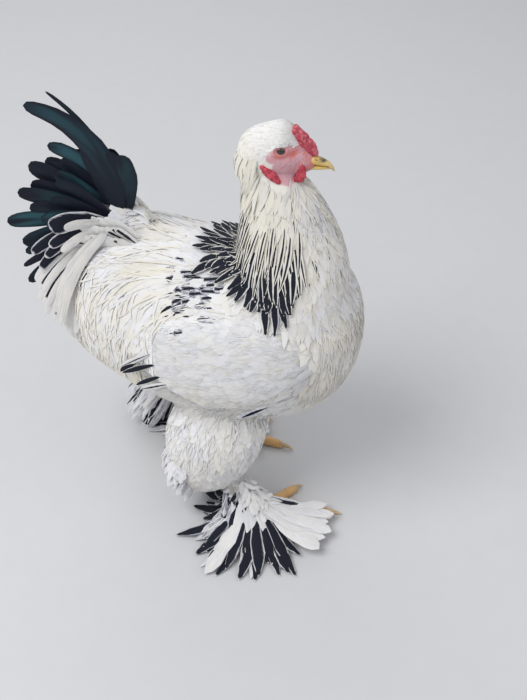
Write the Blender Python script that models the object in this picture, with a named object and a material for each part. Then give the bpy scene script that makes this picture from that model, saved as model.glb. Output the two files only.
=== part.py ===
"""A life-size still model of a young light Brahma cockerel, standing with its head up.

The bird faces +X, its left side is +Y and the floor is z = 0. All sizes are in metres. Each part of
the body is a closed form of its own, and the long feathers are flat blades that grow from it.
"""

import math
import random

import bmesh
import bpy
from mathutils import Matrix, Vector
from mathutils.bvhtree import BVHTree

# Gap that touching meshes keep, the gap at which a feather passes over another part, and how far
# out from a feather such a part is looked for.
GAP = 0.0003
PASS = 0.0009
REACH = 0.030
# How deep a feather's root sinks into what it grows from, the most that it may be raised to pass
# over others, and where along it the rows of its corners lie.
ROOT = 0.0035
MOST_RISE = 0.010
ALONG = (0.0, 0.12, 0.40, 0.70, 1.0)
SIDES = (("right", -1.0), ("left", 1.0))
X, Y, Z = Vector((1, 0, 0)), Vector((0, 1, 0)), Vector((0, 0, 1))

# Torso, from the breast to the rump: x, top, bottom, half width.
TORSO = [
    (0.106, 0.278, 0.246, 0.016),
    (0.099, 0.310, 0.214, 0.048),
    (0.080, 0.342, 0.180, 0.078),
    (0.046, 0.360, 0.152, 0.099),
    (0.000, 0.367, 0.140, 0.110),
    (-0.050, 0.370, 0.136, 0.114),
    (-0.100, 0.375, 0.140, 0.111),
    (-0.145, 0.384, 0.150, 0.101),
    (-0.185, 0.384, 0.165, 0.086),
    (-0.220, 0.364, 0.182, 0.066),
    (-0.249, 0.332, 0.200, 0.044),
    (-0.269, 0.296, 0.222, 0.022),
    (-0.277, 0.272, 0.244, 0.008),
]
TORSO_AROUND = 24
TORSO_SQUARE = 2.15

# Neck under its hackle, from the shoulders to the head: z, centre x, half width, front, back.
NECK = [
    (0.300, 0.022, 0.076, 0.066, 0.074),
    (0.330, 0.022, 0.078, 0.070, 0.074),
    (0.360, 0.020, 0.070, 0.068, 0.065),
    (0.390, 0.013, 0.056, 0.067, 0.054),
    (0.420, 0.006, 0.044, 0.060, 0.045),
    (0.450, 0.000, 0.034, 0.047, 0.038),
    (0.468, -0.005, 0.028, 0.034, 0.032),
]
NECK_AROUND = 18

# Head, from the back of the skull to the beak: x, top, bottom, half width.
HEAD = [
    (-0.0400, 0.4960, 0.4660, 0.0100),
    (-0.0340, 0.5080, 0.4560, 0.0175),
    (-0.0200, 0.5180, 0.4530, 0.0225),
    (-0.0040, 0.5225, 0.4550, 0.0235),
    (0.0100, 0.5205, 0.4600, 0.0215),
    (0.0220, 0.5120, 0.4650, 0.0170),
    (0.0320, 0.5020, 0.4690, 0.0125),
    (0.0400, 0.4935, 0.4725, 0.0090),
    (0.0440, 0.4890, 0.4745, 0.0070),
]
HEAD_AROUND = 16
EYE = Vector((0.0090, 0.0165, 0.5005))
EYE_RADIUS = 0.0058

# Beak: x, middle z, half width, half height of its upper and its lower half.
BEAK_ROOT = 0.0405
GAPE = 0.4802
MOUTH_LINE = 0.00035
UPPER_BEAK = [
    (0.0365, 0.4852, 0.0078, 0.0052),
    (0.0440, 0.4846, 0.0068, 0.0047),
    (0.0520, 0.4832, 0.0054, 0.0041),
    (0.0590, 0.4806, 0.0038, 0.0035),
    (0.0640, 0.4768, 0.0021, 0.0024),
    (0.0655, 0.4738, 0.0007, 0.0010),
]
LOWER_BEAK = [
    (0.0365, 0.4764, 0.0064, 0.0036),
    (0.0440, 0.4762, 0.0058, 0.0032),
    (0.0520, 0.4757, 0.0042, 0.0027),
    (0.0585, 0.4748, 0.0020, 0.0016),
]

# Legs. The left foot stands a step behind the right one.
STEP_BACK = {"right": 0.0, "left": -0.085}
FOOT = Vector((0.0, 0.070, 0.0130))
HOCK = Vector((-0.050, 0.080, 0.092))
HUB_HEIGHT = 0.0100
SHANK_RADIUS = 0.0080
CLAW_FLOOR = 0.0008
BOOT_FLOOR = 0.0018
# Toes: name, angle from straight ahead (outward is positive), length, root and tip radius, claw.
TOES = [
    ("inner", -46.0, 0.056, 0.0078, 0.0055, 0.016),
    ("middle", -8.0, 0.086, 0.0082, 0.0056, 0.018),
    ("outer", 32.0, 0.062, 0.0076, 0.0054, 0.016),
    ("hind", 190.0, 0.038, 0.0070, 0.0052, 0.015),
]
# Thigh with its fluff, from inside the body down past the hock: z, x, y, radius along x, across.
THIGH = [
    (0.195, -0.045, 0.056, 0.050, 0.038),
    (0.160, -0.054, 0.066, 0.063, 0.049),
    (0.126, -0.060, 0.074, 0.065, 0.049),
    (0.094, -0.066, 0.080, 0.056, 0.041),
    (0.068, -0.072, 0.084, 0.040, 0.029),
    (0.050, -0.077, 0.086, 0.018, 0.014),
]
THIGH_AROUND = 16

# Folded wing, from the shoulder to the tips: x, top, bottom, how far it stands off the body.
WING = [
    (0.070, 0.290, 0.262, 0.002),
    (0.058, 0.312, 0.238, 0.006),
    (0.030, 0.328, 0.222, 0.010),
    (-0.010, 0.334, 0.210, 0.012),
    (-0.055, 0.332, 0.206, 0.012),
    (-0.100, 0.326, 0.218, 0.009),
    (-0.135, 0.314, 0.238, 0.006),
    (-0.158, 0.298, 0.256, 0.003),
]
WING_AROUND = 14
WING_DEPTH = 0.012

FEATHER_WHITE = ("plumage_white", (0.83, 0.82, 0.78), 0.85)
FEATHER_BLACK = ("plumage_black", (0.020, 0.035, 0.040), 0.40)
SKIN_PINK = ("skin_pink", (0.70, 0.34, 0.33), 0.60)
COMB_RED = ("comb_red", (0.62, 0.06, 0.09), 0.50)
BEAK_YELLOW = ("beak_yellow", (0.72, 0.55, 0.20), 0.45)
EYE_BROWN = ("eye_brown", (0.09, 0.035, 0.02), 0.10)
LEG_YELLOW = ("leg_yellow", (0.66, 0.45, 0.20), 0.60)
CLAW_HORN = ("claw_horn", (0.62, 0.50, 0.36), 0.45)


def collection(name):
    made = bpy.data.collections.new(name)
    bpy.context.scene.collection.children.link(made)
    return made


def material_of(spec):
    """A Principled material, made once for each name."""
    name, colour, roughness = spec
    found = bpy.data.materials.get(name)
    if found:
        return found
    made = bpy.data.materials.new(name)
    made.use_nodes = True
    shader = made.node_tree.nodes["Principled BSDF"]
    shader.inputs["Base Color"].default_value = (*colour, 1.0)
    shader.inputs["Roughness"].default_value = roughness
    shader.inputs["Metallic"].default_value = 0.0
    return made


def as_object(name, mesh, spec, home=None):
    made = bpy.data.objects.new(name, mesh)
    (home or bird).objects.link(made)
    mesh.materials.append(material_of(spec))
    return made


def remove(made):
    bpy.data.objects.remove(made, do_unlink=True)


def curve_at(t, a, b, c, d):
    """A Catmull-Rom curve from b to c."""
    return 0.5 * (2 * b + (c - a) * t + (2 * a - 5 * b + 4 * c - d) * t * t + (3 * b - a - 3 * c + d) * t**3)


def spline(rows, per_span):
    """Rows of numbers, with more rows between them on a smooth curve."""
    made = []
    last = len(rows) - 1
    for i in range(last):
        four = [rows[max(0, min(last, k))] for k in (i - 1, i, i + 1, i + 2)]
        for k in range(per_span):
            made.append([curve_at(k / per_span, *numbers) for numbers in zip(*four)])
    made.append(list(rows[last]))
    return made


def closed(name, bm, spec, grow=0.0, home=None):
    """An object from a closed bmesh, with its faces turned out and its points moved out by grow."""
    bmesh.ops.recalc_face_normals(bm, faces=bm.faces)
    if bm.calc_volume(signed=True) < 0:
        bmesh.ops.reverse_faces(bm, faces=bm.faces)
    bm.normal_update()
    moves = [(point, point.normal * grow) for point in bm.verts]
    for point, move in moves:
        point.co += move
    mesh = bpy.data.meshes.new(name)
    bm.to_mesh(mesh)
    bm.free()
    return as_object(name, mesh, spec, home)


def tube(name, rings, spec, grow=0.0, home=None):
    """A closed mesh through rings of points, with a point at the middle of its two ends."""
    bm = bmesh.new()
    loops = [[bm.verts.new(p) for p in ring] for ring in rings]
    around = len(loops[0])
    for near, far in zip(loops, loops[1:]):
        for k in range(around):
            bm.faces.new((near[k], near[(k + 1) % around], far[(k + 1) % around], far[k]))
    for ring in (loops[0], loops[-1]):
        pole = bm.verts.new(sum((v.co for v in ring), Vector()) / around)
        for k in range(around):
            bm.faces.new((ring[k], ring[(k + 1) % around], pole))
    bmesh.ops.triangulate(bm, faces=bm.faces)
    return closed(name, bm, spec, grow, home)


def oval(centre, side, up, wide, high, low, around, square=2.0):
    """A ring round a centre: wide along side, high along up and low against it."""
    ring = []
    for k in range(around):
        angle = 2 * math.pi * k / around
        across, rise = math.cos(angle), math.sin(angle)
        across = math.copysign(abs(across) ** (2 / square), across) * wide
        rise = math.copysign(abs(rise) ** (2 / square), rise) * (high if rise > 0 else low)
        ring.append(centre + side * across + up * rise)
    return ring


def upright_loft(name, rows, around, spec, grow=0.0, square=2.0, home=None, per_span=2):
    """A loft of upright ovals along x, from rows of x, top, bottom and half width."""
    rings = []
    for x, top, bottom, half in spline(rows, per_span):
        high = (top - bottom) / 2
        rings.append(oval(Vector((x, 0, bottom + high)), Y, Z, half, high, high, around, square))
    return tube(name, rings, spec, grow, home)


def limb(name, points, radii, spec, around=12, grow=0.0, home=None):
    """A round tube through points, each with its own radius."""
    rings = []
    for i, (centre, radius) in enumerate(zip(points, radii)):
        way = (points[min(i + 1, len(points) - 1)] - points[max(i - 1, 0)]).normalized()
        side = (Y - way * way.y).normalized()
        rings.append(oval(centre, side, way.cross(side), radius, radius, radius, around))
    return tube(name, rings, spec, grow, home)


def ball(name, centre, radii, spec, turn=None, segments=12, rings=8, home=None):
    """An ellipsoid with its axes along x, y and z, turned by a matrix."""
    bm = bmesh.new()
    bmesh.ops.create_uvsphere(bm, u_segments=segments, v_segments=rings, radius=1.0)
    shape = (turn or Matrix.Identity(3)).to_4x4() @ Matrix.Diagonal((*radii, 1.0))
    bmesh.ops.transform(bm, matrix=Matrix.Translation(centre) @ shape, verts=bm.verts)
    bmesh.ops.triangulate(bm, faces=bm.faces)
    return closed(name, bm, spec, 0.0, home)


def block(name, low, high):
    """A box between two corners, for cutting."""
    low, high = Vector(low), Vector(high)
    bm = bmesh.new()
    bmesh.ops.create_cube(bm, size=1.0)
    shape = Matrix.Translation((low + high) / 2) @ Matrix.Diagonal((*(high - low), 1.0))
    bmesh.ops.transform(bm, matrix=shape, verts=bm.verts)
    return closed(name, bm, CLAW_HORN, 0.0, tools)


def blade(name, spine, spec):
    """A flat closed vane. Each row of the spine is a point, the way across, the way out, half the
    width and half the thickness there. Both faces are split into triangles alike."""
    bm = bmesh.new()
    rings = []
    for point, across, out, wide, thick in spine:
        corners = ((1, 1), (-1, 1), (-1, -1), (1, -1))
        rings.append([bm.verts.new(point + across * wide * a + out * thick * b) for a, b in corners])
    for near, far in zip(rings, rings[1:]):
        bm.faces.new((near[0], near[1], far[1]))
        bm.faces.new((near[0], far[1], far[0]))
        bm.faces.new((near[3], far[2], near[2]))
        bm.faces.new((near[3], far[3], far[2]))
        for a, b in ((1, 2), (3, 0)):
            bm.faces.new((near[a], near[b], far[b]))
            bm.faces.new((near[a], far[b], far[a]))
    for ring in (rings[0], rings[-1]):
        bm.faces.new((ring[0], ring[1], ring[2]))
        bm.faces.new((ring[0], ring[2], ring[3]))
    return closed(name, bm, spec, 0.0, tools)


def keep_largest(made):
    """Keeps only the connected surface that encloses the most."""
    bm = bmesh.new()
    bm.from_mesh(made.data)
    bmesh.ops.triangulate(bm, faces=bm.faces)
    left = set(bm.faces)
    best, most = set(), 0.0
    while left:
        island, todo = set(), [left.pop()]
        while todo:
            face = todo.pop()
            island.add(face)
            linked = {other for edge in face.edges for other in edge.link_faces} & left
            left -= linked
            todo.extend(linked)
        volume = abs(sum(f.verts[0].co.dot(f.verts[1].co.cross(f.verts[2].co)) for f in island))
        if volume > most:
            best, most = island, volume
    bmesh.ops.delete(bm, geom=[f for f in bm.faces if f not in best], context="FACES")
    bm.to_mesh(made.data)
    bm.free()
    return made


def combine(made, pieces, operation):
    """One Boolean with a collection of closed meshes, applied, after which they are removed."""
    group = collection(made.name + "_pieces")
    for piece in pieces:
        for home in list(piece.users_collection):
            home.objects.unlink(piece)
        group.objects.link(piece)
    change = made.modifiers.new("combine", "BOOLEAN")
    change.operation = operation
    change.operand_type = "COLLECTION"
    change.solver = "MANIFOLD"
    change.collection = group
    graph = bpy.context.evaluated_depsgraph_get()
    graph.update()
    mesh = bpy.data.meshes.new_from_object(made.evaluated_get(graph))
    made.modifiers.clear()
    made.data = mesh
    for piece in pieces:
        remove(piece)
    bpy.data.collections.remove(group)
    return keep_largest(made)


def cut(made, *pieces):
    return combine(made, pieces, "DIFFERENCE")


def fuse(made, *pieces):
    return combine(made, pieces, "UNION")


def surface(*objects):
    """A search tree over the faces of some meshes."""
    points, faces = [], []
    for made in objects:
        start = len(points)
        points.extend(v.co.copy() for v in made.data.vertices)
        faces.extend(tuple(start + k for k in face.vertices) for face in made.data.polygons)
    return BVHTree.FromPolygons(points, faces)


def part(name):
    return bpy.data.objects[name]


def turned(yaw=0.0, pitch=0.0, roll=0.0):
    """A turn about x, then about y, then about z, in degrees."""
    made = Matrix.Identity(3)
    for angle, axis in ((yaw, "Z"), (pitch, "Y"), (roll, "X")):
        made = made @ Matrix.Rotation(math.radians(angle), 3, axis)
    return made


def rise_needed(point, out, obstacles, gap):
    """How far a point must move outwards to pass over the obstacles."""
    place, _, _, distance = obstacles.ray_cast(point + out * REACH, -out, REACH + gap)
    return 0.0 if place is None else REACH - distance + gap


def lifted(spine, obstacles, gap):
    """The spine of a vane, raised and tilted so that all but its root passes over what is there."""
    rows = [list(row) for row in spine]
    for _ in range(2):
        for i in range(1, len(rows)):
            needs = [0.0, 0.0, 0.0]
            for t in (-0.66, -0.33, 0.0, 0.33, 0.66):
                other = rows[i - 1] if t < 0 else rows[min(i + 1, len(rows) - 1)]
                if i == 1 and t < 0:
                    continue
                point, across, out, wide, thick = [a + (b - a) * abs(t) for a, b in zip(rows[i], other)]
                for k, reach in enumerate((-1.0, 0.0, 1.0)):
                    low = point + across * wide * reach - out * thick
                    needs[k] = max(needs[k], rise_needed(low, out.normalized(), obstacles, gap))
            right, middle, left = needs
            middle = max(middle - (left + right) / 2, 0.0)
            point, across, out, wide, _ = rows[i]
            edge = across * wide * 2 + out * (left - right)
            rows[i][0] = point + out * ((left + right) / 2 + middle)
            rows[i][1] = edge.normalized()
            rows[i][2] = (out - rows[i][1] * out.dot(rows[i][1])).normalized()
    moved = max((now[0] - then[0]).length for now, then in zip(rows, spine))
    return rows if moved < MOST_RISE else None


class Coat:
    """Feathers that grow from one part, each laid over the ones before it and over other parts."""

    def __init__(self, grown, others, spec):
        self.under, self.spec, self.feathers = list(grown) + list(others), spec, []
        self.others = surface(*others) if others else None

    def add(self, spine):
        """Adds one feather, unless it would have to rise too far or would run into another part."""
        under = surface(*self.under, *self.feathers)
        earlier = surface(*self.feathers) if self.feathers else None
        for gap in (PASS, PASS * 1.6, PASS * 2.4, PASS * 3.4):
            rows = lifted(spine, under, gap)
            if rows is None:
                return
            made = blade("feather", rows, self.spec)
            own = surface(made)
            clash = bool(self.others and self.others.overlap(own))
            if not clash and not (earlier and earlier.overlap(own)):
                break
            if gap < PASS * 3 or clash:
                remove(made)
                made = None
        if made:
            self.feathers.append(made)


def laid(ground, start, aim, length, rises):
    """A path over a surface from start, as near to the aim as the surface lets it run.

    rises gives the height over the surface near the root and at the tip."""
    place, out, _, _ = ground.find_nearest(start)
    rows = [(place - out * ROOT, aim.cross(out).normalized(), out.copy())]
    way = aim.normalized()
    for before, t in zip(ALONG, ALONG[1:]):
        for _ in range(3):
            way = (way + aim.normalized()) / 2
            way = (way - out * way.dot(out)).normalized()
            place, new_out, _, _ = ground.find_nearest(place + way * length * (t - before) / 3)
            out = (out * 0.6 + new_out * 0.4).normalized()
        rise = rises[0] + (rises[1] - rises[0]) * t
        rows.append((place + out * rise, way.cross(out).normalized(), out.copy()))
    return rows


def shaped(path, width, thick, tip=0.12, fullest=0.45, root=0.55):
    """A vane's spine on a path: narrow at its root, widest at fullest, and tapered to its tip."""
    spine = []
    for t, (point, across, out) in zip(ALONG, path):
        swell = root + (1 - root) * t / fullest if t < fullest else 1 - (1 - tip) * ((t - fullest) / (1 - fullest)) ** 1.7
        taper = 1.0 - 0.45 * t
        spine.append((point, across, out, width / 2 * swell, thick / 2 * taper))
    return spine


def arc(start, way, bend_axis, bend, length):
    """A path that bends evenly by an angle in degrees about an axis."""
    rows = []
    point, way = start.copy(), way.normalized()
    for before, t in zip((0.0, *ALONG), ALONG):
        turn = Matrix.Rotation(math.radians(bend) * (t - before), 3, bend_axis)
        way = (turn @ way).normalized()
        point = point + way * length * (t - before)
        out = (bend_axis - way * bend_axis.dot(way)).normalized()
        rows.append((point.copy(), out.cross(way).normalized(), out))
    return rows


def torso(name="torso", grow=0.0, home=None):
    return upright_loft(name, TORSO, TORSO_AROUND, FEATHER_WHITE, grow, TORSO_SQUARE, home, per_span=1)


def torso_point(x, angle):
    """A point on the torso at x, by the angle from the top of its back, and the way out there."""
    rows = spline(TORSO, 4)
    row = min(rows, key=lambda r: abs(r[0] - x))
    high, half = (row[1] - row[2]) / 2, row[3]
    out = Vector((0, math.sin(angle) / half, math.cos(angle) / high)).normalized()
    return Vector((x, math.sin(angle) * half, row[2] + high + math.cos(angle) * high)), out


def torso_half_width(x, z):
    """Half the torso's width at a place on its side."""
    rows = sorted(spline(TORSO, 2), key=lambda row: row[0])
    for a, b in zip(rows, rows[1:]):
        if a[0] <= x <= b[0]:
            t = (x - a[0]) / (b[0] - a[0])
            top, bottom, half = (a[i] + (b[i] - a[i]) * t for i in (1, 2, 3))
            rise = min(abs(z - (top + bottom) / 2) / ((top - bottom) / 2), 0.98)
            return half * (1 - rise**TORSO_SQUARE) ** (1 / TORSO_SQUARE)
    return 0.0


def saddle_feathers():
    """Long narrow feathers from the lower back, sweeping back and down over the flanks."""
    ground = surface(part("torso"))
    coat = Coat([body], [part(name) for name in ("wing_right", "wing_left", "tail")], FEATHER_WHITE)
    draw = random.Random(11)
    for x, angles, length in (
        (-0.212, (60, 84, 108), 0.080),
        (-0.180, (46, 66, 88), 0.094),
        (-0.148, (36, 56, 76), 0.098),
        (-0.116, (24, 46, 66), 0.098),
        (-0.084, (14, 38), 0.088),
    ):
        for angle in angles:
            for side in (-1, 1):
                spread = math.radians(angle + draw.uniform(-4, 4)) * side
                start, _ = torso_point(x + draw.uniform(-0.006, 0.006), spread)
                aim = Vector((-1.0, 0.15 * side, -0.40 - angle / 110 + draw.uniform(-0.12, 0.12)))
                path = laid(ground, start, aim, length * draw.uniform(0.9, 1.1), (0.0014, 0.0080))
                coat.add(shaped(path, 0.0140, 0.0012))
    return coat.feathers


def neck(name="neck", grow=0.0, home=None):
    rings = []
    for z, x, half, front, back in spline(NECK, 2):
        rings.append(oval(Vector((x, 0, z)), Y, X, half, front, back, NECK_AROUND))
    return tube(name, rings, FEATHER_WHITE, grow, home)


# Tiers of the hackle: root height, count, half the angle it covers from the nape, length, width.
HACKLE = [
    (0.350, 13, 172, 0.076, 0.0200),
    (0.385, 11, 164, 0.076, 0.0180),
    (0.418, 9, 154, 0.072, 0.0150),
    (0.446, 7, 134, 0.060, 0.0125),
]
# How much higher the lowest tier springs at the nape, where the back is higher than the breast.
NAPE_RISE = 0.030


def hackle_feathers(ground):
    """Narrow neck feathers in tiers, the lowest of them a cape over the shoulders."""
    coat = Coat([hackle, body], [part(name) for name in ("wing_right", "wing_left")], FEATHER_WHITE)
    draw = random.Random(23)
    for z, count, reach, length, width in HACKLE:
        _, x, half, front, back = min(spline(NECK, 8), key=lambda row: abs(row[0] - z))
        for k in range(count):
            angle = math.radians(180 + (k - (count - 1) / 2) * 2 * reach / count + draw.uniform(-4, 4))
            along = front if math.cos(angle) > 0 else back
            high = z + NAPE_RISE * max(-math.cos(angle), 0.0) * (0.446 - z) / 0.096
            start = Vector((x + math.cos(angle) * along, math.sin(angle) * half, high))
            aim = Vector((0.55 * math.cos(angle), 0.55 * math.sin(angle), -1.0))
            path = laid(ground, start, aim, length * draw.uniform(0.9, 1.1), (0.0014, 0.0040))
            coat.add(shaped(path, width, 0.0012))
    return coat.feathers


def head(name="head", grow=0.0, home=None):
    return upright_loft(name, HEAD, HEAD_AROUND, SKIN_PINK, grow, 2.1, home, per_span=1)


def eye_place(side):
    return Vector((EYE.x, EYE.y * side, EYE.z))


def lid_ring(side):
    """The lids round an eye, one almond-shaped ring."""
    bpy.ops.mesh.primitive_torus_add(major_radius=1.0, minor_radius=0.23, major_segments=12, minor_segments=5)
    ring = bpy.context.object
    for home in list(ring.users_collection):
        home.objects.unlink(ring)
    tools.objects.link(ring)
    lean = turned(yaw=-20 * side) @ Matrix.Rotation(math.radians(90), 3, "X")
    shape = lean.to_4x4() @ Matrix.Diagonal((0.0064, 0.0047, 0.0060, 1.0))
    centre = eye_place(side) + Vector((0.0004, 0.0038 * side, 0))
    ring.data.transform(Matrix.Translation(centre) @ shape)
    return ring


def make_head():
    made = fuse(head(), lid_ring(-1), lid_ring(1))
    sockets = [ball("socket", eye_place(side), [EYE_RADIUS + GAP] * 3, SKIN_PINK, segments=12, rings=8, home=tools)
               for side in (-1, 1)]
    cut(made, *sockets)
    cut(made, block("face_end", (BEAK_ROOT, -0.05, 0.42), (0.09, 0.05, 0.56)))
    return cut(made, block("mouth_line", (0.0290, -0.03, GAPE - MOUTH_LINE), (0.0700, 0.03, GAPE)))


def beak_half(name, rows, grow=0.0, home=None):
    rings = []
    for x, z, half, high in spline(rows, 1):
        rings.append(oval(Vector((x, 0, z)), Y, Z, half, high, high, 12))
    return tube(name, rings, BEAK_YELLOW, grow, home)


def make_beak():
    front = BEAK_ROOT + GAP
    upper = beak_half("beak_upper", UPPER_BEAK)
    cut(upper, block("behind", (0.0, -0.05, 0.42), (front, 0.05, 0.56)))
    cut(upper, block("mouth", (0.0, -0.05, 0.42), (0.0600, 0.05, GAPE)))
    nostrils = [ball("nostril", Vector((0.0462, 0.0062 * side, 0.4868)), (0.0026, 0.0012, 0.0009), BEAK_YELLOW,
                     turned(pitch=12), 8, 6, tools) for side in (-1, 1)]
    cut(upper, *nostrils)
    lower = beak_half("beak_lower", LOWER_BEAK)
    cut(lower, block("behind", (0.0, -0.05, 0.42), (front, 0.05, 0.56)))
    cut(lower, block("mouth", (0.0, -0.05, GAPE - MOUTH_LINE), (0.09, 0.05, 0.56)))


def comb_beads():
    """The pea comb: three low rows of beads down the front of the crown."""
    beads = []
    for across, count in ((0.0, 5), (-0.0052, 3), (0.0052, 3)):
        for k in range(count):
            t = k / (count - 1)
            lower = 0.0016 if across else 0.0
            place = Vector((0.0165 + 0.0250 * t + lower / 2, across, 0.5180 - 0.0255 * t - lower))
            size = (0.0038 if across else 0.0045) * (0.8 + 0.35 * math.sin(math.pi * t))
            beads.append(ball("bead", place, (size, size * 0.9, size), COMB_RED, segments=6, rings=4, home=tools))
    return beads


def make_comb():
    ridge = [Vector((0.0150, 0, 0.5150)), Vector((0.0290, 0, 0.5025)), Vector((0.0400, 0, 0.4915))]
    made = limb("comb", ridge, [0.0060, 0.0072, 0.0050], COMB_RED, around=10)
    fuse(made, *comb_beads())
    cut(made, head("head_grown", GAP, tools), beak_half("beak_grown", UPPER_BEAK, GAP, tools))
    return cut(made, block("comb_under", (0.030, -0.03, 0.46), (0.08, 0.03, 0.4885)))


def make_face():
    for word, side in SIDES:
        ball("eye_" + word, eye_place(side), [EYE_RADIUS] * 3, EYE_BROWN, segments=12, rings=8)
        lobe = ball("earlobe_" + word, Vector((-0.0010, 0.0215 * side, 0.4740)), (0.0155, 0.0044, 0.0052),
                    COMB_RED, turned(pitch=42), 10, 6)
        wattle = ball("wattle_" + word, Vector((0.0300, 0.0115 * side, 0.4715)), (0.0064, 0.0040, 0.0105),
                      COMB_RED, turned(pitch=-24), 10, 6)
        for made in (lobe, wattle):
            cut(made, head("head_grown", GAP, tools))
            cut(made, neck("neck_grown", GAP, tools))


def wing(name, side, grow=0.0, home=None):
    """The folded wing, a shallow form lying on the torso's side."""
    rings = []
    for x, top, bottom, off in spline(WING, 2):
        middle = (top + bottom) / 2
        centre = Vector((x, side * (torso_half_width(x, middle) - WING_DEPTH), middle))
        lean = (torso_half_width(x, top) - torso_half_width(x, bottom)) / (top - bottom)
        up = (Z + Y * side * lean).normalized()
        high = off + WING_DEPTH
        rings.append(oval(centre, up, Y * side, (top - bottom) / 2, high, WING_DEPTH, WING_AROUND, 2.4))
    return tube(name, rings, FEATHER_WHITE, grow, home)


# Tiers of the wing: count, x and z of the first root and the last, length, width, slope of the way.
WING_TIERS = [
    (5, (-0.066, 0.236), (-0.106, 0.262), 0.074, 0.0175, -0.06),
    (7, (0.010, 0.230), (-0.086, 0.290), 0.080, 0.0200, -0.12),
    (6, (0.036, 0.258), (-0.062, 0.306), 0.060, 0.0200, -0.20),
]


def wing_feathers(side):
    """Flight feathers and their coverts, in tiers that lie over one another like tiles."""
    core = part("wing_right" if side < 0 else "wing_left")
    coat = Coat([core, body], [], FEATHER_WHITE)
    ground = surface(core)
    draw = random.Random(31)
    for count, first, last, length, width, slope in WING_TIERS:
        for k in reversed(range(count)):
            t = k / (count - 1)
            start = Vector((first[0] + (last[0] - first[0]) * t, side * 0.16, first[1] + (last[1] - first[1]) * t))
            aim = Vector((-1.0, 0.0, slope + draw.uniform(-0.03, 0.03)))
            path = laid(ground, start, aim, length * draw.uniform(0.95, 1.05), (0.0008, 0.0010))
            coat.add(shaped(path, width, 0.0009, tip=0.34, fullest=0.6))
    return coat.feathers


def make_wing(word, side):
    made = wing("wing_" + word, side)
    fuse(made, *wing_feathers(side))
    return cut(made, torso("torso_grown", GAP, tools))


# Tail: where its feathers spring, and the form they grow from.
TAIL_ROOT = Vector((-0.186, 0.0, 0.388))
TAIL_CORE = [
    (-0.150, 0.396, 0.352, 0.016),
    (-0.168, 0.412, 0.350, 0.026),
    (-0.190, 0.420, 0.346, 0.029),
    (-0.212, 0.412, 0.342, 0.024),
    (-0.228, 0.396, 0.350, 0.012),
]
# Main tail feathers of each side, from the top down: the angle above straight back at the root,
# length, width, bend and how far out from the middle plane. Then the sickles and coverts over them.
TAIL_MAIN = [
    (86, 0.102, 0.032, 18, 0.004),
    (70, 0.108, 0.033, 16, 0.007),
    (54, 0.108, 0.033, 14, 0.010),
    (37, 0.106, 0.033, 12, 0.013),
    (20, 0.102, 0.032, 10, 0.016),
]
TAIL_COVER = [
    (93, 0.158, 0.026, 66, 0.013),
    (76, 0.108, 0.024, 40, 0.016),
    (106, 0.078, 0.030, 34, 0.018),
    (56, 0.084, 0.028, 34, 0.018),
    (34, 0.096, 0.028, 30, 0.020),
    (10, 0.102, 0.026, 22, 0.022),
    (-10, 0.104, 0.025, 18, 0.023),
    (-27, 0.106, 0.024, 14, 0.023),
]
TAIL_LEAN = 9


def tail_feather(side, row, draw):
    """The spine of one tail feather."""
    rise, length, width, bend, off = row
    rise = math.radians(rise + draw.uniform(-2, 2))
    lean = math.radians(TAIL_LEAN * off / 0.02)
    back = Vector((-math.cos(rise), 0, math.sin(rise)))
    way = back * math.cos(lean) + Y * side * math.sin(lean)
    axis = Y * math.cos(lean) * side - back * math.sin(lean)
    start = TAIL_ROOT + Y * side * off + back * 0.014
    path = arc(start, way, axis, -bend * side, length * draw.uniform(0.97, 1.03))
    return shaped(path, width, 0.0010, tip=0.40, fullest=0.66)


def tail_feathers():
    """Main feathers in two upright fans, and curved sickles and coverts outside them."""
    draw = random.Random(41)
    feathers = []
    for side in (-1, 1):
        coat = Coat([body], [], FEATHER_BLACK)
        for row in TAIL_MAIN + TAIL_COVER:
            coat.add(tail_feather(side, row, draw))
        feathers.extend(coat.feathers)
    return feathers


def make_tail():
    made = upright_loft("tail", TAIL_CORE, 16, FEATHER_BLACK)
    fuse(made, *tail_feathers())
    return cut(made, torso("torso_grown", GAP, tools))


def leg_place(point, word, side):
    return Vector((point.x + STEP_BACK[word], point.y * side, point.z))


def thigh(name, word, side, grow=0.0, home=None):
    rings = []
    top, low = THIGH[0][0], THIGH[-1][0]
    for z, x, y, along, across in THIGH:
        lag = STEP_BACK[word] * (0.35 + 0.65 * (top - z) / (top - low))
        rings.append(oval(Vector((x + lag, y * side, z)), X, Y, along, across, across, THIGH_AROUND))
    return tube(name, rings, FEATHER_WHITE, grow, home)


def toe_way(angle, side):
    angle = math.radians(angle)
    return Vector((math.cos(angle), math.sin(angle) * side, 0))


def toe(name, word, side, row, grow=0.0, home=None):
    _, angle, length, thick, thin, _ = row
    root = leg_place(FOOT, word, side) * Vector((1, 1, 0))
    points, radii = [], []
    for k in range(5):
        t = k / 4
        radius = (thick + (thin - thick) * t) * (1.0 + 0.07 * math.cos(t * 4 * math.pi))
        points.append(root + toe_way(angle, side) * length * t + Z * radius * 0.90)
        radii.append(radius)
    return limb(name, points, radii, LEG_YELLOW, 8, grow, home)


def claw(name, word, side, row, grow=0.0, home=None):
    _, angle, length, _, thin, size = row
    root = leg_place(FOOT, word, side) * Vector((1, 1, 0))
    points, radii = [], []
    for t in (0.0, 0.4, 0.75, 1.0):
        points.append(root + toe_way(angle, side) * (length - 0.003 + size * t) + Z * (thin * 1.25 - 0.005 * t * t))
        radii.append(thin * 0.62 * (1 - t) + 0.0007)
    return limb(name, points, radii, CLAW_HORN, 6, grow, home)


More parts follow.
